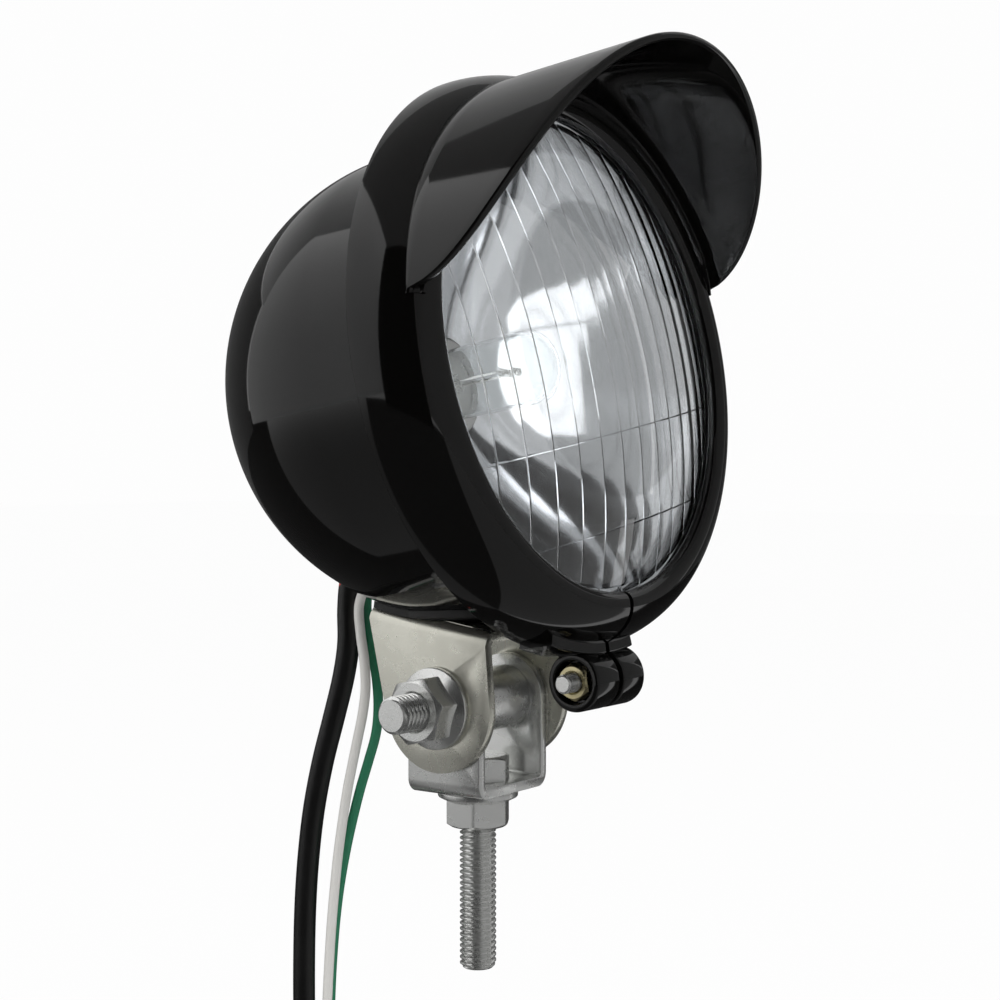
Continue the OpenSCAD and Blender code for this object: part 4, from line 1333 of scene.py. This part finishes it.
# %% The leads' routes
SLEEVE_D, WIRE_D = 5.2, 2.3
LEAD_START = 2.5
SLEEVE_HOLE, WHITE_HOLE, GREEN_HOLE = (-0.3, -1.3), (-0.6, 3.1), (2.9, 1.9)
SLEEVE_ROUTE = [
    (0, 37.2, 45.5), (0, 37.2, 38), (0, 38.7, 30), (0, 41.8, 20), (0, 45.2, 9.5), (0, 48, -2),
    (0, 49.8, -14), (0, 50.8, -26), (0, 51.2, -39), (0, 51.2, -52), (0, 51, -65), (0, 51, -78),
    (0, 51, -91),
]
RED_TAIL = [
    (0, 51, -91), (0, 51, -97), (0, 51.4, -103), (0, 52.2, -109), (0, 53.2, -115),
    (0, 54.2, -121),
]
WHITE_ROUTE = [
    (-0.4, 33.7, 45.8), (-0.2, 33.3, 40), (0.1, 32.5, 34), (0.4, 32.4, 28), (0.7, 33.5, 22),
    (0.9, 35.2, 16), (1, 37, 9.5), (1, 38.6, 3), (1, 40, -4), (1, 41.4, -12), (1, 42.6, -21),
    (1, 43.6, -30), (1, 44.4, -40), (1, 45, -50), (1, 45.3, -60), (1, 45.4, -70), (1, 45.4, -80),
    (1, 45, -89), (1, 44, -98), (1, 43, -107), (1, 42.4, -116),
]
GREEN_ROUTE = [
    (3, 34.2, 46), (3.1, 33.5, 41), (3.2, 32.5, 35), (3.4, 31.5, 29), (3.5, 31.2, 23),
    (3.6, 32, 17), (3.7, 34.3, 10.5), (3.8, 36.8, 4), (4, 39.2, -3), (4.2, 41.6, -11),
    (4.4, 43.8, -20), (4.6, 45.4, -29), (4.8, 46.6, -39), (4.9, 47.3, -49), (5, 47.7, -59),
    (5, 48, -69), (5, 48, -79), (5.1, 48, -88), (5.4, 48.2, -97), (5.8, 48.6, -107),
    (6.2, 49, -117),
]


def smooth(points, per_span=6):
    """A Catmull-Rom line through the points."""
    line = []
    last = len(points) - 1
    for i in range(last):
        p0, p1, p2, p3 = points[max(i - 1, 0)], points[i], points[i + 1], points[min(i + 2, last)]
        for k in range(per_span):
            t = k / per_span
            line.append(
                0.5 * (2 * p1 + (p2 - p0) * t + (2 * p0 - 5 * p1 + 4 * p2 - p3) * t**2
                       + (3 * p1 - p0 - 3 * p2 + p3) * t**3)
            )
    return line + [points[last]]


def lead_line(hole, route):
    """A lead's line in metres: straight out of its hole in the grommet, then along its route."""
    out = []
    if hole:
        out = [GROMMET @ Vector((*hole, h)) for h in (GROMMET_T, GROMMET_T + LEAD_START)]
    return smooth(out + [Vector(p) * MM for p in route])


sleeve_line = lead_line(SLEEVE_HOLE, SLEEVE_ROUTE)
white_line = lead_line(WHITE_HOLE, WHITE_ROUTE)
green_line = lead_line(GREEN_HOLE, GREEN_ROUTE)
red_line = lead_line(None, RED_TAIL)
print("points on the leads:", [len(line) for line in (sleeve_line, white_line, green_line)])

# %% [markdown]
# Each wire's insulation is cut back at its end, where twisted strands stand out. The red wire
# comes out of the grommet beside the sleeve and slips into it, which shows as a bit of red.

STRIPPED = 4
STRANDS, STRAND_R, STRAND_SPREAD, STRAND_TWIST = 7, 0.24, 0.55, 0.5
RED_ASIDE, RED_STEPS = Vector((-2.0, 1.0, 0.8)), 12


def lead(name, line, diameter, material, nodes=()):
    """A round lead along a line, as a curve of one open spline with capped ends."""
    curve = bpy.data.curves.new(name, "CURVE")
    curve.dimensions = "3D"
    curve.bevel_depth = diameter * MM / 2
    curve.bevel_resolution = 6
    curve.use_fill_caps = True
    spline = curve.splines.new("POLY")
    spline.points.add(len(line) - 1)
    for point, place in zip(spline.points, line):
        point.co = (*place, 1)
    spline.use_smooth = True
    curve.materials.append(material)
    piece = ride_on(bpy.data.objects.new(name, curve), "head", nodes)
    length = sum((b - a).length for a, b in zip(line, line[1:]))
    print(name, "is", round(length * 1000), "mm long")
    return piece, length


def strands(name, line):
    """The twisted strands that stand out where a wire's insulation is cut back."""
    bundle = []
    for k in range(STRANDS):
        twist = []
        spread = STRAND_SPREAD * MM if k else 0
        for i, here in enumerate(line):
            way = (line[min(i + 1, len(line) - 1)] - line[max(i - 1, 0)]).normalized()
            one = way.cross(X).normalized()
            two = way.cross(one)
            t = 2 * math.pi * k / (STRANDS - 1) + STRAND_TWIST * i
            twist.append((here + (one * math.cos(t) + two * math.sin(t)) * spread) / MM)
        bundle.append(tube(twist, STRAND_R, 6))
    return make(name, together(*bundle), COPPER, "head")


sleeve, length = lead("black_sleeve_lead", sleeve_line, SLEEVE_D, SLEEVING, ["black_sleeve"])
red_top = [
    sleeve_line[k] + RED_ASIDE * MM * (1 - k / RED_STEPS) ** 0.5 for k in range(RED_STEPS)
]
red, _ = lead("red_lead", red_line[:-STRIPPED], WIRE_D, RED, ["red_wire"])
red_end = strands("red_lead_strands", red_line[-STRIPPED - 1 :])
red_start, _ = lead("red_lead_top", red_top, WIRE_D, RED)
for colour, line, material in (("white", white_line, WHITE), ("green", green_line, GREEN)):
    name = colour + "_lead"
    wire, length = lead(name, line[:-STRIPPED], WIRE_D, material, [colour + "_wire"])
    wire_end = strands(name + "_strands", line[-STRIPPED - 1 :])

# %% [markdown]
# ## Studio
# The lamp was photographed on plain white. The world is white to the camera, and to the rays that
# glass and gloss send out, so they show the same ground. Other rays get a softer level, which
# keeps the shading plain. More light could whiten the ground too, but it would bleach the lamp.

# %% World
WORLD_LEVEL, BACK_LEVEL = 0.62, 0.985
PURE_WHITE = (1, 1, 1, 1)
world = bpy.data.worlds.new("studio")
scene.world = world
world.use_nodes = True
sky = world.node_tree
soft_back = sky.nodes["Background"]
feed(sky, soft_back.inputs["Color"], PURE_WHITE)
feed(sky, soft_back.inputs["Strength"], WORLD_LEVEL)
white_back = add(sky, "ShaderNodeBackground", {"Color": PURE_WHITE, "Strength": BACK_LEVEL})


def seen_ray(tree):
    """1 for rays from the camera and from glossy or clear surfaces."""
    rays = add(tree, "ShaderNodeLightPath").outputs
    both = calc(tree, "MAXIMUM", rays["Is Camera Ray"], rays["Is Glossy Ray"])
    return calc(tree, "MAXIMUM", both, rays["Is Transmission Ray"])


pick = add(
    sky, "ShaderNodeMixShader",
    {0: seen_ray(sky), 1: soft_back.outputs[0], 2: white_back.outputs[0]},
)
feed(sky, sky.nodes["World Output"].inputs["Surface"], pick.outputs[0])
print("world:", WORLD_LEVEL, "on the lamp,", BACK_LEVEL, "behind it")

# %% Floor
FLOOR_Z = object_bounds()[0][2] - 0.002
FLOOR_HALF = 6.0
FLOOR_WHITE = 0.95


def staged(name, corners, material):
    """A flat sheet that belongs to the studio and not to the lamp."""
    mesh = bpy.data.meshes.new(name)
    mesh.from_pydata([tuple(c) for c in corners], [], [tuple(range(len(corners)))])
    mesh.materials.append(material)
    sheet = bpy.data.objects.new(name, mesh)
    scene.collection.objects.link(sheet)
    return sheet


def make_floor():
    """A white floor that keeps a little of its shading, so the lamp's shadow shows on it."""
    material, paper = new_material("pale_floor", {
        "Base Color": (0.9, 0.9, 0.9, 1), "Roughness": 0.9, "Specular IOR Level": 0.1,
    })
    tree = material.node_tree
    mix = add(tree, "ShaderNodeMixShader", {
        0: calc(tree, "MULTIPLY", seen_ray(tree), FLOOR_WHITE), 1: paper.outputs[0],
        2: add(tree, "ShaderNodeEmission").outputs[0],
    })
    feed(tree, tree.nodes["Material Output"].inputs["Surface"], mix.outputs[0])
    h = FLOOR_HALF
    corners = [(-h, -h, FLOOR_Z), (h, -h, FLOOR_Z), (h, h, FLOOR_Z), (-h, h, FLOOR_Z)]
    return staged("floor", corners, material)


floor = make_floor()
print("floor at", round(FLOOR_Z, 4), "m")

# %% [markdown]
# Black gloss paint shows only what it reflects, and in an all-white room it would look grey. A
# photographer stands black and grey card round the object to give it dark bands. These flags do
# that. They are seen by glossy rays only, so they hide nothing and darken nothing.

# %% Flags
CENTRE = Vector((0, 0, 0.085))
SIDE = looking.cross(Z).normalized()


def around(azimuth, height, distance):
    """A place round the lamp: azimuth from the camera towards its right, height in degrees."""
    turned, lift = math.radians(azimuth), math.radians(height)
    level = -looking * math.cos(turned) + SIDE * math.sin(turned)
    level.z = 0
    return CENTRE + (level.normalized() * math.cos(lift) + Z * math.sin(lift)) * distance


def flag(name, corners, shade):
    """A flat card of one grey that only glossy rays see."""
    material, _ = new_material(name, {
        "Base Color": (shade, shade, shade, 1), "Roughness": 1.0, "Specular IOR Level": 0.0,
    })
    board = staged(name, corners, material)
    for ray in ("camera", "diffuse", "transmission", "volume_scatter", "shadow"):
        setattr(board, "visible_" + ray, False)
    return board


def upright_flag(name, left, right, low, high, distance, shade):
    """A flat upright card between two azimuths and two heights, all in degrees."""
    a, b = around(left, 0, distance), around(right, 0, distance)
    foot, head = [Z * math.tan(math.radians(t)) * distance for t in (low, high)]
    return flag(name, [a + foot, b + foot, b + head, a + head], shade)


def table_flag(name, left, right, reach, lift, shade):
    """A card that lies on the floor under the lamp, between two azimuths."""
    foot = Vector((CENTRE.x, CENTRE.y, FLOOR_Z + lift))
    edge = [around(left + (right - left) * k / 8, 0, reach) for k in range(9)]
    return flag(name, [foot] + [Vector((p.x, p.y, foot.z)) for p in edge], shade)


def glow(card, strength):
    """Lets a card shine by itself, by one strength all over or by one that varies."""
    tree = card.data.materials[0].node_tree
    shader = tree.nodes["Principled BSDF"]
    feed(tree, shader.inputs["Emission Color"], PURE_WHITE)
    feed(tree, shader.inputs["Emission Strength"], strength)


def fade_up(card, start, end, strength, by_height=True):
    """Lets a card brighten softly, with its height or with its distance from the lamp's foot."""
    tree = card.data.materials[0].node_tree
    place = add(tree, "ShaderNodeTexCoord").outputs["Object"]
    if by_height:
        measure = add(tree, "ShaderNodeSeparateXYZ", {0: place}).outputs["Z"]
    else:
        length = add(tree, "ShaderNodeVectorMath", {0: place}, operation="LENGTH")
        measure = length.outputs["Value"]
    spread = add(
        tree, "ShaderNodeMapRange",
        {"Value": measure, "From Min": start, "From Max": end, "To Max": strength},
        interpolation_type="SMOOTHSTEP",
    )
    glow(card, spread.outputs["Result"])


CEILING_Z, CEILING_R = 1.5, 1.6
upright_flag("camera_flag", -43, 10, -60, 42, 1.0, 0.0)
for side in (-1, 1):
    upright_flag("back_low", 121 * side, 180 * side, -60, 20, 1.3, 0.12)
    upright_flag("back_high", 119 * side, 180 * side, 20, 66, 1.35, 0.62)
left_card = upright_flag("left_card", -120, -43, -50, 66, 1.5, 0.85)
fade_up(left_card, 0.1, 2.4, 1.1)
upright_flag("right_card", 10, 120, -50, 60, 1.6, 0.32)
table_flag("back_table", -106, -245, 2.5, 0.001, 0.035)
left_table = table_flag("left_table", -106, -62, 2.5, 0.0012, 0.2)
fade_up(left_table, 0.35, 1.6, 0.6, by_height=False)
table_flag("right_table", 24, 110, 2.5, 0.0008, 0.3)
table_flag("front_table", -62, 24, 1.2, 0.001, 0.05)
ceiling = Vector((CENTRE.x, CENTRE.y, CEILING_Z))
disc = [ceiling + (X * math.cos(t) + Y * math.sin(t)) * CEILING_R for t in turns_of(32)]
flag("ceiling_flag", disc, 0.28)

# %% [markdown]
# The upright white patch in the bowl is a bright card as well, seen through the glass and turned
# by the bowl. It stands right of the camera and goes on along the floor. Only rays that come
# through glass see these two cards, and they light nothing else.

# %% Bright cards for the bowl
BOWL_GLOW = 4.0
UPRIGHT_PART = [(33, 44), (50, 45), (58, 36), (59, 10), (58, -11), (28, -11), (27, 10), (28, 34)]
LYING_PART = [(28, -11), (58, -11), (63, -17), (60, -23), (50, -25), (38, -24), (31, -19)]


def on_floor(azimuth, height):
    """Where a downward direction from the lamp meets the floor."""
    way = around(azimuth, height, 1) - CENTRE
    return CENTRE + way * ((CENTRE.z - FLOOR_Z - 0.002) / -way.z)


def bowl_card(name, corners):
    card = flag(name, corners, 0)
    glow(card, BOWL_GLOW)
    card.visible_transmission = True
    card.visible_glossy = False


bowl_card("bowl_card_upright", [around(*d, 1.2) for d in UPRIGHT_PART])
bowl_card("bowl_card_lying", [on_floor(*d) for d in LYING_PART])
print("bowl cards:", len(UPRIGHT_PART), "and", len(LYING_PART), "corners")

# %% [markdown]
# The light itself comes from three large area lights, as soft as boxes of white cloth. Small lamps
# would give hard shadows. Gloss doesn't see them, because the flags give the paint its bands.


# %% Soft boxes
def soft_box(name, place, size, radiance):
    """An area light that gives this much light for each part of its size."""
    data = bpy.data.lights.new(name, "AREA")
    data.shape = "RECTANGLE"
    data.size, data.size_y = size
    data.energy = radiance * math.pi * size[0] * size[1]
    lamp = bpy.data.objects.new(name, data)
    lamp.location = place
    lamp.rotation_mode = "QUATERNION"
    lamp.rotation_quaternion = (CENTRE - place).to_track_quat("-Z", "Y")
    lamp.visible_glossy = False
    scene.collection.objects.link(lamp)
    return lamp


soft_box("left_box", around(-75, 35, 1.1), (0.9, 0.55), 1.25)
soft_box("top_box", around(-60, 75, 1.1), (0.8, 0.8), 1.3)
right_box = soft_box("right_box", around(38, 25, 1.2), (0.85, 0.8), 1.4)
right_box.visible_transmission = False
print("lights:", len(bpy.data.lights))

# %% Finish
scene.view_settings.view_transform = "Standard"
